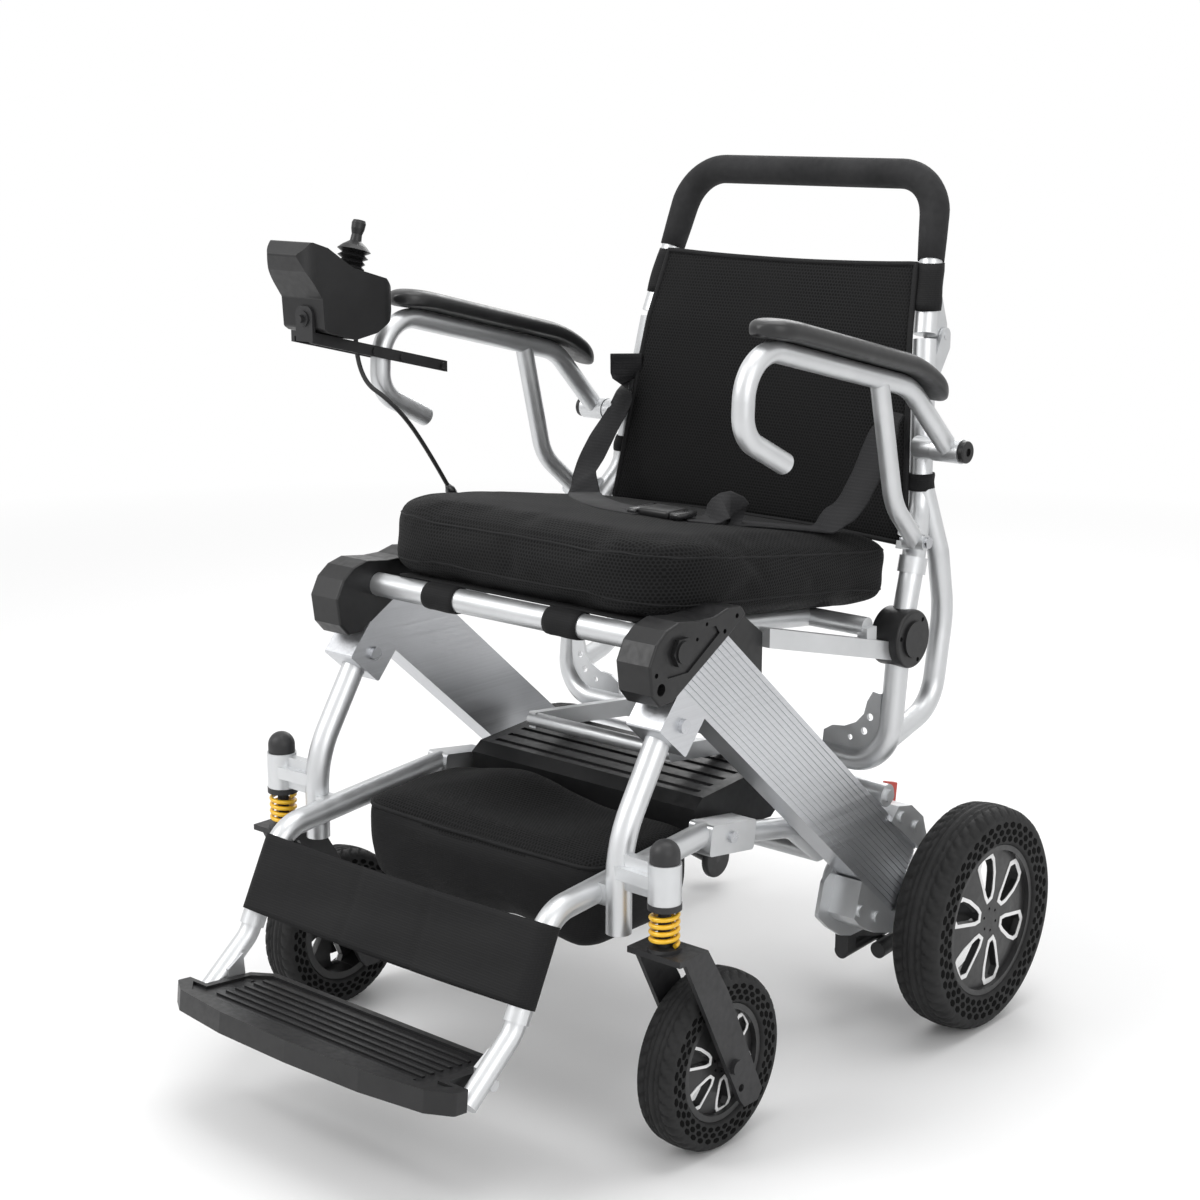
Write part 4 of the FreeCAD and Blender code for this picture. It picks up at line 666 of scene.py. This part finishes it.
def block_rings(half, corner, edge, n_side=10, n_up=6, rear=None):
    """Rings of points from the bottom to the top of a block with rounded corners and edges.
    The corners at the rear may have their own radius."""
    hx, hy, hz = half
    ring = []
    arc, turn = 8, 4                             # steps round a corner and round an edge
    for qx, qy, a0 in ((1, 1, 0), (-1, 1, 90), (-1, -1, 180), (1, -1, 270)):
        own = rear if rear and qy > 0 else corner
        for k in range(arc + 1):
            a = math.radians(a0 + 90 * k / arc)
            ring.append((qx * (hx - own), qy * (hy - own), math.cos(a), math.sin(a), own - corner))
    dense = []
    for i, (cx, cy, ax, ay, more) in enumerate(ring):
        dense.append((cx, cy, ax, ay, more))
        nxt = ring[(i + 1) % len(ring)]
        if (cx, cy) != (nxt[0], nxt[1]):
            for k in range(1, n_side):
                t = k / n_side
                dense.append((cx + (nxt[0] - cx) * t, cy + (nxt[1] - cy) * t, ax, ay, more + (nxt[4] - more) * t))
    steps = []
    for k in range(turn + 1):
        a = math.radians(-90 + 90 * k / turn)
        steps.append((-hz + edge + math.sin(a) * edge, corner - edge + math.cos(a) * edge))
    for k in range(1, n_up):
        steps.append((-hz + edge + (2 * hz - 2 * edge) * k / n_up, corner))
    for k in range(turn + 1):
        a = math.radians(90 * k / turn)
        steps.append((hz - edge + math.sin(a) * edge, corner - edge + math.cos(a) * edge))
    return [[Vector((cx + ax * (rad + more), cy + ay * (rad + more), z)) for cx, cy, ax, ay, more in dense]
            for z, rad in steps]


SIDE_RING = 6                                    # a ring at the block's full width


def filled(rings, centre, fill_steps=9):
    """Rings joined, with both ends closed by shrinking copies of the end rings."""
    n = len(rings[0])
    low = [[v.lerp(Vector((0, 0, rings[0][0].z)), t / fill_steps) for v in rings[0]]
           for t in range(fill_steps - 1, 0, -1)]
    high = [[v.lerp(Vector((0, 0, rings[-1][0].z)), t / fill_steps) for v in rings[-1]]
            for t in range(1, fill_steps)]
    allr = low + rings + high
    return [centre + v for r in allr for v in r], bar_faces(n, len(allr))


def puff(o, voxel, pressure, cap, frames):
    """Voxel remesh, a short pressure cloth run, capped travel, result applied."""
    r = o.modifiers.new("remesh", "REMESH")
    r.mode, r.voxel_size = "VOXEL", voxel
    apply_modifiers(o)
    rest = [v.co.copy() for v in o.data.vertices]
    c = o.modifiers.new("cloth", "CLOTH")
    c.settings.use_pressure = True
    c.settings.uniform_pressure_force = pressure
    c.settings.tension_stiffness = c.settings.compression_stiffness = 18
    c.settings.bending_stiffness = 1.2
    c.settings.quality = 5
    c.settings.effector_weights.gravity = 0
    c.point_cache.frame_start, c.point_cache.frame_end = 1, frames
    sc = bpy.context.scene
    for f in range(1, frames + 1):
        sc.frame_set(f)
    apply_modifiers(o)
    sc.frame_set(1)
    for v, p in zip(o.data.vertices, rest):
        d = v.co - p
        if d.length > cap:
            v.co = p + d.normalized() * cap


def soften(o):
    """Evens out the remeshed surface, refines it, and shades it smooth."""
    bm = bmesh.new()
    bm.from_mesh(o.data)
    for _ in range(2):
        bmesh.ops.smooth_vert(bm, verts=bm.verts, factor=0.5, use_axis_x=True, use_axis_y=True, use_axis_z=True)
    bm.to_mesh(o.data)
    bm.free()
    subdivide(o)
    apply_modifiers(o)
    o.data.polygons.foreach_set("use_smooth", [True] * len(o.data.polygons))


def tree_of(o):
    """The piece's surface, ready to be asked for its nearest or first point."""
    return BVHTree.FromPolygons([v.co for v in o.data.vertices], [tuple(p.vertices) for p in o.data.polygons])


def seat_cushion():
    """Crowned cushion, lower at the rear, its sides pulled in a little at half height."""
    half = (0.210, 0.2035, 0.0370)
    base_z = TUBE_Z + TUBE_R + 0.3 + 3.0 + 0.3
    centre = P(0, -246, base_z + 39.0)
    rings = block_rings(half, 0.082, 0.020, rear=0.040)
    for ring in rings:
        for v in ring:
            pull = 1.0 - 0.012 * max(0.0, 1 - abs(v.z) / 0.03)
            v.x, v.y = v.x * pull, v.y * pull
    verts, faces = filled(rings, centre)
    for v in verts:
        d = v - centre
        crown = max(0.0, 1 - (d.x / 0.21) ** 2) * max(0.0, 1 - (d.y / 0.2) ** 2)
        if d.z > 0.02:
            v.z += 0.006 * crown
        if d.z > -0.02:
            v.z -= 0.010 * max(0.0, (d.y + 0.05) / 0.25) * (d.z + 0.02) / 0.057
    verts = [on_seat(v) for v in verts]
    o = add_mesh("seat_cushion", verts, faces, "mesh", "chassis", replaces=("cushion",))
    puff(o, voxel=0.006, pressure=3.5, cap=0.006, frames=14)
    soften(o)
    bvh = tree_of(o)
    for name, z in (("cushion_piping_top", half[2] - 0.009), ("cushion_piping_low", -half[2] + 0.010)):
        round_it = block_rings((half[0] + 0.006, half[1] + 0.006, half[2]), 0.084, 0.020, rear=0.042)[SIDE_RING]
        loop = []
        for v in round_it:
            q = on_seat(centre + Vector((v.x, v.y, z)))
            hit = bvh.find_nearest(q)
            loop.append(hit[0] - hit[1] * 0.0003)
        v, f = loop_tube(loop, 0.0012)
        add_mesh(name, v, f, "piping", "chassis")
    return o


def post_at(z):
    """Centre of the back post: lower run below the fold line, upper run above it."""
    if z <= 748:
        t = (z - 566) / (748 - 566)
        return (212 + t * (192 - 212), -12 + t * (18 + 12), z)
    t = (z - 748) / (919 - 748)
    return (192 + t * (168 - 192), 18 + t * (70 - 18), z)


def backrest():
    """One padded panel of spacer mesh slung between the posts, across the fold line."""
    z0, z1 = 529.0, 825.0
    nu, nv = 41, 45
    thick = 7.0
    front, back = [], []
    for j in range(nv):
        z = z0 + (z1 - z0) * j / (nv - 1)
        px, py, _ = post_at(z)
        w = px - 9.0
        for i in range(nu):
            u = -1 + 2 * i / (nu - 1)
            x = u * w
            edge = max(abs(u), abs(2 * j / (nv - 1) - 1))
            plump = thick * (0.35 + 0.65 * max(0.0, 1 - edge ** 6))
            sag = 9.0 * (1 - u * u)
            dz = -5.0 * (1 - u * u) * (j / (nv - 1)) ** 6 + 4.0 * (1 - u * u) * (1 - j / (nv - 1)) ** 6
            ripple = 0.8 * math.sin(z * 0.045 + u * 3.1) * (1 - u * u) + 0.7 * math.sin(u * 9.0 + z * 0.02)
            y = py - 12.7 - 1.0 + sag + ripple
            front.append(P(x, y - plump, z + dz))
            back.append(P(x, y - 0.6, z + dz))
    panel = add_mesh("backrest_panel", front + back, shell_faces(nu, nv), "mesh", None,
                     replaces=("back_fabric_lower", "back_fabric_upper"))
    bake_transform(panel)
    v, f = loop_tube([(front[i] + back[i]) / 2 for i in grid_rim(nu, nv)], 0.0032)
    piping = add_mesh("backrest_piping", v, f, "piping", None)
    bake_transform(piping)
    for s, name in ((-1, "right"), (1, "left")):
        for tag, za, zb, body in (("upper", 776, 826, "upper_back"), ("foot", 586, 604, "chassis")):
            v, f = wrap_band(s, za, zb)
            add_mesh("back_wrap_%s_%s" % (tag, name), v, f, "nylon", body)


def wrap_band(s, za, zb):
    """Hook-and-loop band round a back post."""
    radius, segs, rows = 15.4, 28, 7
    verts = []
    for layer in (0, 1):
        for j in range(rows):
            z = za + (zb - za) * j / (rows - 1)
            cx, cy, _ = post_at(z)
            for k in range(segs):
                a = 2 * math.pi * k / segs
                r = radius - 1.6 * layer + (0.5 * math.sin(3 * a + j) if layer == 0 else 0)
                soft = -0.6 if j in (0, rows - 1) and layer == 0 else 0
                verts.append(P(s * cx + math.cos(a) * (r + soft), cy + math.sin(a) * (r + soft), z))
    return verts, sleeve_faces(segs, rows)


def foam_handle():
    """Foam sleeve over the push bar, in one bow from post to post."""
    low = post_at(828)
    pts = [P(*low), P(168, 70, 919), P(-168, 70, 919), P(-low[0], low[1], low[2])]
    path = rounded_path(pts, [0.052, 0.052], step=0.005)
    segs, ends = 28, 4
    radii = [0.0165] * len(path)
    for i in range(ends):
        radii[i] = radii[-1 - i] = 0.0135 + 0.003 * math.sin((i + 1) / ends * math.pi / 2)
    stations = list(zip(path, radii, frames_along(path)))
    lip = 0.0131                                 # the sleeve turns in on the tube at each end
    stations = [(path[0], lip, stations[0][2])] + stations + [(path[-1], lip, stations[-1][2])]
    verts = [p + s * math.cos(2 * math.pi * k / segs) * r + b * math.sin(2 * math.pi * k / segs) * r
             for p, r, (t, s, b) in stations for k in range(segs)]
    add_mesh("foam_handle", verts, bar_faces(segs, len(stations)), "foam", "upper_back",
             replaces=("foam_grip",))


def calf_strap():
    """Broad nylon band round both hangers, with four sewn seams."""
    top, low = Vector((0, -585.0, 258.0)), Vector((0, -631.0, 165.0))
    d = (low - top).normalized()
    out = Vector((0, d.z, -d.y)).normalized()
    if out.y > 0:
        out = -out
    hx, r = 187.0, 12.7
    length, start = 80.0, 9.0
    around = [(hx + math.sin(math.pi * k / 24) * (r + 1.5), -math.cos(math.pi * k / 24) * (r + 1.5))
              for k in range(25)]
    across = [(-hx + 2 * hx * k / 60, r + 1.5) for k in range(1, 60)]
    # round the right hanger from behind, across the front, and round the left hanger
    line = ([(-hx + 34, -(r + 1.0))] + [(-x, y) for x, y in around] + across
            + [(x, -y) for x, y in around] + [(hx - 34, -(r + 1.0))])
    rows = 15
    seams = (-0.72, -0.27, 0.27, 0.72)
    verts = []
    for layer in (0, 1):
        for j in range(rows):
            t = start + length * j / (rows - 1)
            for i, (x, y) in enumerate(line):
                f = 0.0
                if y > r and abs(x) < hx:
                    u = x / hx
                    f = 0.9 * math.sin(u * 7 + j * 0.25) * (1 - u * u) + 0.6 * math.sin(j * 0.8 + u * 4)
                    f -= 2.4 * (1 - (2 * j / (rows - 1) - 1) ** 2) * (1 - u * u)
                    for s in seams:
                        f -= 1.6 * math.exp(-((u - s) / 0.012) ** 2)
                yy = y + (f if y > 0 else 0) - (0.0 if layer == 0 else (1.4 if y > 0 else -1.4))
                xx = x - (0 if layer == 0 else (1.2 if x > hx else (-1.2 if x < -hx else 0)))
                sag = 2.5 * (1 - (x / hx) ** 2) if abs(x) < hx else 0.0
                q = top + d * (t + sag) + out * yy
                verts.append(P(xx, q.y, q.z))
    add_mesh("calf_band", verts, shell_faces(len(line), rows), "nylon", "chassis",
             replaces=("calf_strap",))


def bag():
    """Soft storage bag under the seat, with a piped top edge."""
    half = (0.168, 0.079, 0.046)
    centre = P(0, -417, 231)
    rings = block_rings(half, 0.03, 0.014, n_side=14, n_up=7)
    for ring in rings:
        for v in ring:
            down = (half[2] - v.z) / (2 * half[2])
            v.x *= 1 - 0.16 * max(0.0, down - 0.55)
            v.z += 0.004 * math.sin(v.x * 31) * down
    verts, faces = filled(rings, centre, 10)
    for v in verts:
        d = v - centre
        if d.z > 0.02:
            lift = math.exp(-((d.x + 0.05) / 0.07) ** 2 - ((d.y - 0.045) / 0.05) ** 2)
            v.z += 0.020 * lift - 0.004 * math.cos(d.x * 22) * (1 - abs(d.y) / 0.08)
    o = add_mesh("storage_bag_shell", verts, faces, "nylon", "chassis", replaces=("storage_bag",))
    puff(o, voxel=0.007, pressure=1.5, cap=0.004, frames=10)
    soften(o)
    for v in o.data.vertices:
        c = v.co - centre
        fold = 0.0014 * math.sin(c.x * 60 + c.z * 40) * max(0.0, 0.5 - c.z * 9)
        v.co.y += fold
    o.data.materials.append(MATS["mesh"])
    for poly in o.data.polygons:
        poly.material_index = 1 if poly.normal.z > 0.55 else 0
    bvh = tree_of(o)
    loop = []
    for v in block_rings((half[0] + 0.004, half[1] + 0.004, half[2]), 0.03, 0.014, n_side=14)[SIDE_RING]:
        hit = bvh.find_nearest(centre + Vector((v.x, v.y, half[2] - 0.004)))
        loop.append(hit[0] + hit[1] * 0.0006)
    v, f = loop_tube(loop, 0.0022)
    add_mesh("bag_piping", v, f, "piping", "chassis")


def seat_sling():
    """Sling under the cushion with two broad wraps on the front tube."""
    nu, nv = 25, 21
    half_width, y_front, y_rear = 162.0, -436, -128
    verts = []
    for layer in (0, 1):
        for j in range(nv):
            y = y_front + (y_rear - y_front) * j / (nv - 1)
            for i in range(nu):
                u = -1 + 2 * i / (nu - 1)
                sag = -2.0 * (1 - u * u) * math.sin(math.pi * j / (nv - 1))
                verts.append(on_seat(P(u * half_width, y, TUBE_Z + 13.4 + 2.4 * (1 - layer) + sag)))
    add_mesh("seat_sling_sheet", verts, shell_faces(nu, nv), "nylon", "chassis",
             replaces=("seat_sling",))
    rows, segs, wrap_width = 9, 32, 44
    for tag, xc in (("right", -92.0), ("left", 78.0)):
        verts = []
        for layer in (0, 1):
            for j in range(rows):
                x = xc - wrap_width / 2 + wrap_width * j / (rows - 1)
                for k in range(segs):
                    a = 2 * math.pi * k / segs
                    r = 14.9 - 1.7 * layer
                    if layer == 0:
                        r += 0.25 * math.sin(2 * a + j) - (0.7 if j in (0, rows - 1) else 0)
                    verts.append(P(x, TUBE_Y + math.cos(a) * r, TUBE_Z + math.sin(a) * r))
        add_mesh("seat_wrap_" + tag, verts, sleeve_faces(segs, rows), "nylon", "chassis")


STRAP_WIDTH, STRAP_THICK = 0.038, 0.0022


def ribbon(points, normals, name, replaces=()):
    """Flat strap along points, lying on the given normals."""
    verts = []
    n = len(points)
    for i, (p, nm) in enumerate(zip(points, normals)):
        t = (points[min(i + 1, n - 1)] - points[max(i - 1, 0)]).normalized()
        nm = (nm - t * nm.dot(t)).normalized()
        side = t.cross(nm)
        for a, b in ((-0.5, 0), (-0.46, 1), (0.46, 1), (0.5, 0), (0.46, -1), (-0.46, -1)):
            verts.append(p + side * (a * STRAP_WIDTH) + nm * (b * STRAP_THICK / 2))
    add_mesh(name, verts, bar_faces(6, n), "webbing", "chassis", replaces=replaces)


def catmull(pts, per=10):
    """Points on a smooth curve through the given ones."""
    out = []
    n = len(pts)
    for i in range(n - 1):
        p0, p1, p2, p3 = pts[max(i - 1, 0)], pts[i], pts[i + 1], pts[min(i + 2, n - 1)]
        for k in range(per):
            t = k / per
            out.append(0.5 * ((2 * p1) + (p2 - p0) * t + (2 * p0 - 5 * p1 + 4 * p2 - p3) * t * t
                              + (3 * p1 - p0 - 3 * p2 + p3) * t ** 3))
    out.append(pts[-1].copy())
    return out


def lap_belt(cushion):
    """Two straps that come down from the posts and lie over the cushion to the buckle."""
    bvh = tree_of(cushion)

    def lie(p, lift=1.6):
        """The point of the cushion's top under p, lifted by the strap, and its normal."""
        hit = bvh.ray_cast(p + Vector((0, 0, 0.2)), Vector((0, 0, -1)))
        if hit[0] is None:
            return p, Vector((0, 0, 1))
        return hit[0] + Vector((0, 0, lift * MM)), hit[1]

    def strap(ctrl, name, replaces=()):
        out, nrm = [], []
        for p in catmull([P(*c) for c in ctrl]):
            q, _ = lie(p)
            if p.z < q.z + 0.012 and abs(p.x) < 0.212:
                out.append(q)
                nrm.append(Vector((0, 0, 1)))
            else:
                out.append(p)
                nrm.append(Vector((0, -0.9, 0.45)))
        for _ in range(2):
            nrm = [(nrm[max(k - 1, 0)] + nrm[k] + nrm[min(k + 1, len(nrm) - 1)]).normalized() for k in range(len(nrm))]
            out = [out[0]] + [(out[k - 1] + out[k] * 2 + out[k + 1]) / 4 for k in range(1, len(out) - 1)] + [out[-1]]
        ribbon(out, nrm, name, replaces)
    strap([(-198, -22, 704), (-202, -22, 652), (-206, -58, 606), (-198, -98, 566), (-150, -150, 554),
           (-75, -232, 560), (5, -292, 566), (62, -298, 568)], "belt_right", replaces=("lap_belt",))
    strap([(196, -40, 672), (188, -56, 643), (184, -80, 602), (178, -110, 570), (160, -160, 562),
           (142, -218, 574), (128, -255, 590), (104, -286, 570)], "belt_left")
    q, _ = lie(P(84, -292, 640), 4.5)
    v, f = box_mesh(q + Vector((-0.024, -0.0165, -0.004)), q + Vector((0.016, 0.0165, 0.005)))
    socket = add_mesh("belt_buckle_socket", v, f, "black", "chassis", outward=False)
    bevel(socket, 0.003, 3)
    v, f = merge([box_mesh(q + Vector((0.0165, -0.0155, -0.003)), q + Vector((0.030, 0.0155, 0.004))),
                  box_mesh(q + Vector((-0.036, -0.020, -0.0035)), q + Vector((-0.0245, 0.020, 0.0035)))])
    tongue = add_mesh("belt_buckle_tongue", v, f, "black_gloss", "chassis", outward=False)
    bevel(tongue, 0.002, 2)


def arm_pad(side):
    """Contoured pad with a rounded top, that follows its tube and droops at the front."""
    node = "arm_pad_" + side
    lo, hi = (Vector(v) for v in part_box(node))
    y0, y1 = lo.y, hi.y
    ax = 0.246 if side == "left" else -0.246
    n, m = 64, 28
    end_run = 0.030                              # length over which an end rounds off

    def tube_z(y):
        yy = (y - OY) / MM
        return (762.0 - 0.237 * (yy + 315.0) - (0.0 if yy < -120 else (yy + 120) ** 2 * 0.0036)) * MM
    verts = []
    for i in range(n):
        t = i / (n - 1)
        y = y0 + (y1 - y0) * t
        run_front, run_back = (y - y0) / end_run, (y1 - y) / end_run
        plan = min(1.0, math.sqrt(max(0.0, 1 - max(0.0, 1 - run_front) ** 2)),
                   math.sqrt(max(0.0, 1 - max(0.0, 1 - run_back) ** 2)))
        hw = 0.0258 * max(plan, 0.02) * (0.96 + 0.04 * math.sin(t * math.pi))
        hz = 0.0115 * (0.35 + 0.65 * max(plan, 0.02))
        droop = -0.006 * max(0.0, 1 - run_front * 0.6) ** 2
        cz = tube_z(y) + 0.0112 + 0.0100 + droop
        for k in range(m):
            a = 2 * math.pi * k / m
            ca, sa = math.cos(a), math.sin(a)
            ex = math.copysign(abs(ca) ** 0.62, ca) * hw
            ez = math.copysign(abs(sa) ** (0.75 if sa > 0 else 0.5), sa) * (hz if sa > 0 else hz * 0.85)
            verts.append(Vector((ax + ex, y, cz + ez)))
    o = add_mesh("pad_" + side, verts, bar_faces(m, n), "pad", "armrest_" + side, replaces=(node,))
    subdivide(o)


LEAD = [P(-246, -412, 753), P(-246, -412, 708), P(-225, -378, 678), P(-225, -335, 632), P(-223, -298, 576)]


def joystick_lead():
    """The lead from the pod, and the moulded connector on its end."""
    cu = bpy.data.curves.new("lead_cord", "CURVE")
    cu.dimensions = "3D"
    sp = cu.splines.new("NURBS")
    sp.points.add(len(LEAD) - 1)
    for q, p in zip(sp.points, LEAD):
        q.co = (*p, 1)
    sp.order_u = 3
    sp.use_endpoint_u = True
    cu.bevel_depth = 0.0025
    cu.bevel_resolution = 4
    cu.resolution_u = 24
    o = bpy.data.objects.new("lead_cord", cu)
    bpy.context.scene.collection.objects.link(o)
    cu.materials.append(MATS["cable"])
    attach(o, "armrest_right")
    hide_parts("joystick_lead")
    a, b = LEAD[-2], LEAD[-1]
    d = (b - a).normalized()
    prof = [(0.0, 0.0027), (0.004, 0.0042), (0.007, 0.0058), (0.013, 0.0060), (0.0135, 0.0052), (0.0150, 0.0052),
            (0.0155, 0.0060), (0.022, 0.0060), (0.026, 0.0046)]
    side = d.orthogonal().normalized()
    up = d.cross(side)
    segs = 20
    start = b - d * 0.004
    verts = [start + d * t + (side * math.cos(2 * math.pi * k / segs) + up * math.sin(2 * math.pi * k / segs)) * r
             for t, r in prof for k in range(segs)]
    plug = add_mesh("lead_connector", verts, bar_faces(segs, len(prof)), "black_gloss", "armrest_right")


# ------------------------------------------------------------- floor, light
def studio():
    """Pale floor that fades into a white background, a soft world and four area lights."""
    n = Nodes("floor_pale")
    sep = n.vec("LENGTH", n.vec("MULTIPLY", n.coord(), (1, 1, 0)), out=1)
    far = n.span(sep, 1.2, 3.6, 0.0, 1.0)
    n.set(color=(0.90, 0.90, 0.90), rough=0.8)
    em = n.new("ShaderNodeEmission")
    em.inputs[0].default_value = (1, 1, 1, 1)
    em.inputs[1].default_value = 1.0
    lp = n.new("ShaderNodeLightPath")
    fac = n.math("MULTIPLY", far, lp.outputs["Is Camera Ray"])
    mix = n.new("ShaderNodeMixShader")
    n.link(fac, mix.inputs[0])
    n.link(n.bsdf.outputs[0], mix.inputs[1])
    n.link(em.outputs[0], mix.inputs[2])
    n.link(mix.outputs[0], n.out.inputs[0])
    me = bpy.data.meshes.new("floor")
    s = 14.0
    me.from_pydata([(-s, -s, 0), (s, -s, 0), (s, s, 0), (-s, s, 0)], [], [(0, 1, 2, 3)])
    o = bpy.data.objects.new("floor", me)
    bpy.context.scene.collection.objects.link(o)
    me.materials.append(n.mat)
    w = bpy.data.worlds.new("studio")
    bpy.context.scene.world = w
    w.use_nodes = True
    t = w.node_tree
    t.nodes.clear()
    out = t.nodes.new("ShaderNodeOutputWorld")
    soft, seen = t.nodes.new("ShaderNodeBackground"), t.nodes.new("ShaderNodeBackground")
    soft.inputs[0].default_value = (1, 1, 1, 1)
    soft.inputs[1].default_value = 0.55
    seen.inputs[0].default_value = (1, 1, 1, 1)
    seen.inputs[1].default_value = 1.0
    path = t.nodes.new("ShaderNodeLightPath")
    add = t.nodes.new("ShaderNodeMath")
    add.operation = "MAXIMUM"
    t.links.new(path.outputs["Is Camera Ray"], add.inputs[0])
    t.links.new(path.outputs["Is Glossy Ray"], add.inputs[1])
    mix = t.nodes.new("ShaderNodeMixShader")
    t.links.new(add.outputs[0], mix.inputs[0])
    t.links.new(soft.outputs[0], mix.inputs[1])
    t.links.new(seen.outputs[0], mix.inputs[2])
    t.links.new(mix.outputs[0], out.inputs[0])
    for name, at, size, watts in (("key", (-1.6, -2.6, 2.8), 1.8, 62), ("fill", (3.2, -1.2, 1.9), 2.2, 34),
                                  ("top", (0.2, 0.4, 3.4), 2.4, 48), ("rim", (-1.2, 2.6, 2.2), 1.6, 26)):
        ld = bpy.data.lights.new(name, "AREA")
        ld.energy, ld.size = watts, size
        lo = bpy.data.objects.new(name, ld)
        lo.location = at
        lo.rotation_euler = (Vector((0, 0, 0.45)) - Vector(at)).to_track_quat("-Z", "Y").to_euler()
        bpy.context.scene.collection.objects.link(lo)
    bpy.context.scene.view_settings.view_transform = "Standard"


# --------------------------------------------------------------------- build
make_camera()
make_materials()
dress_cad()
joystick_lead()
studio()
for side in ("left", "right"):
    for end in ("front", "rear"):
        centre, half_width = tyre(side, end)
        window_rings(side, end, centre, half_width)
    arm_pad(side)
cushion = seat_cushion()
backrest()
foam_handle()
calf_strap()
bag()
seat_sling()
lap_belt(cushion)
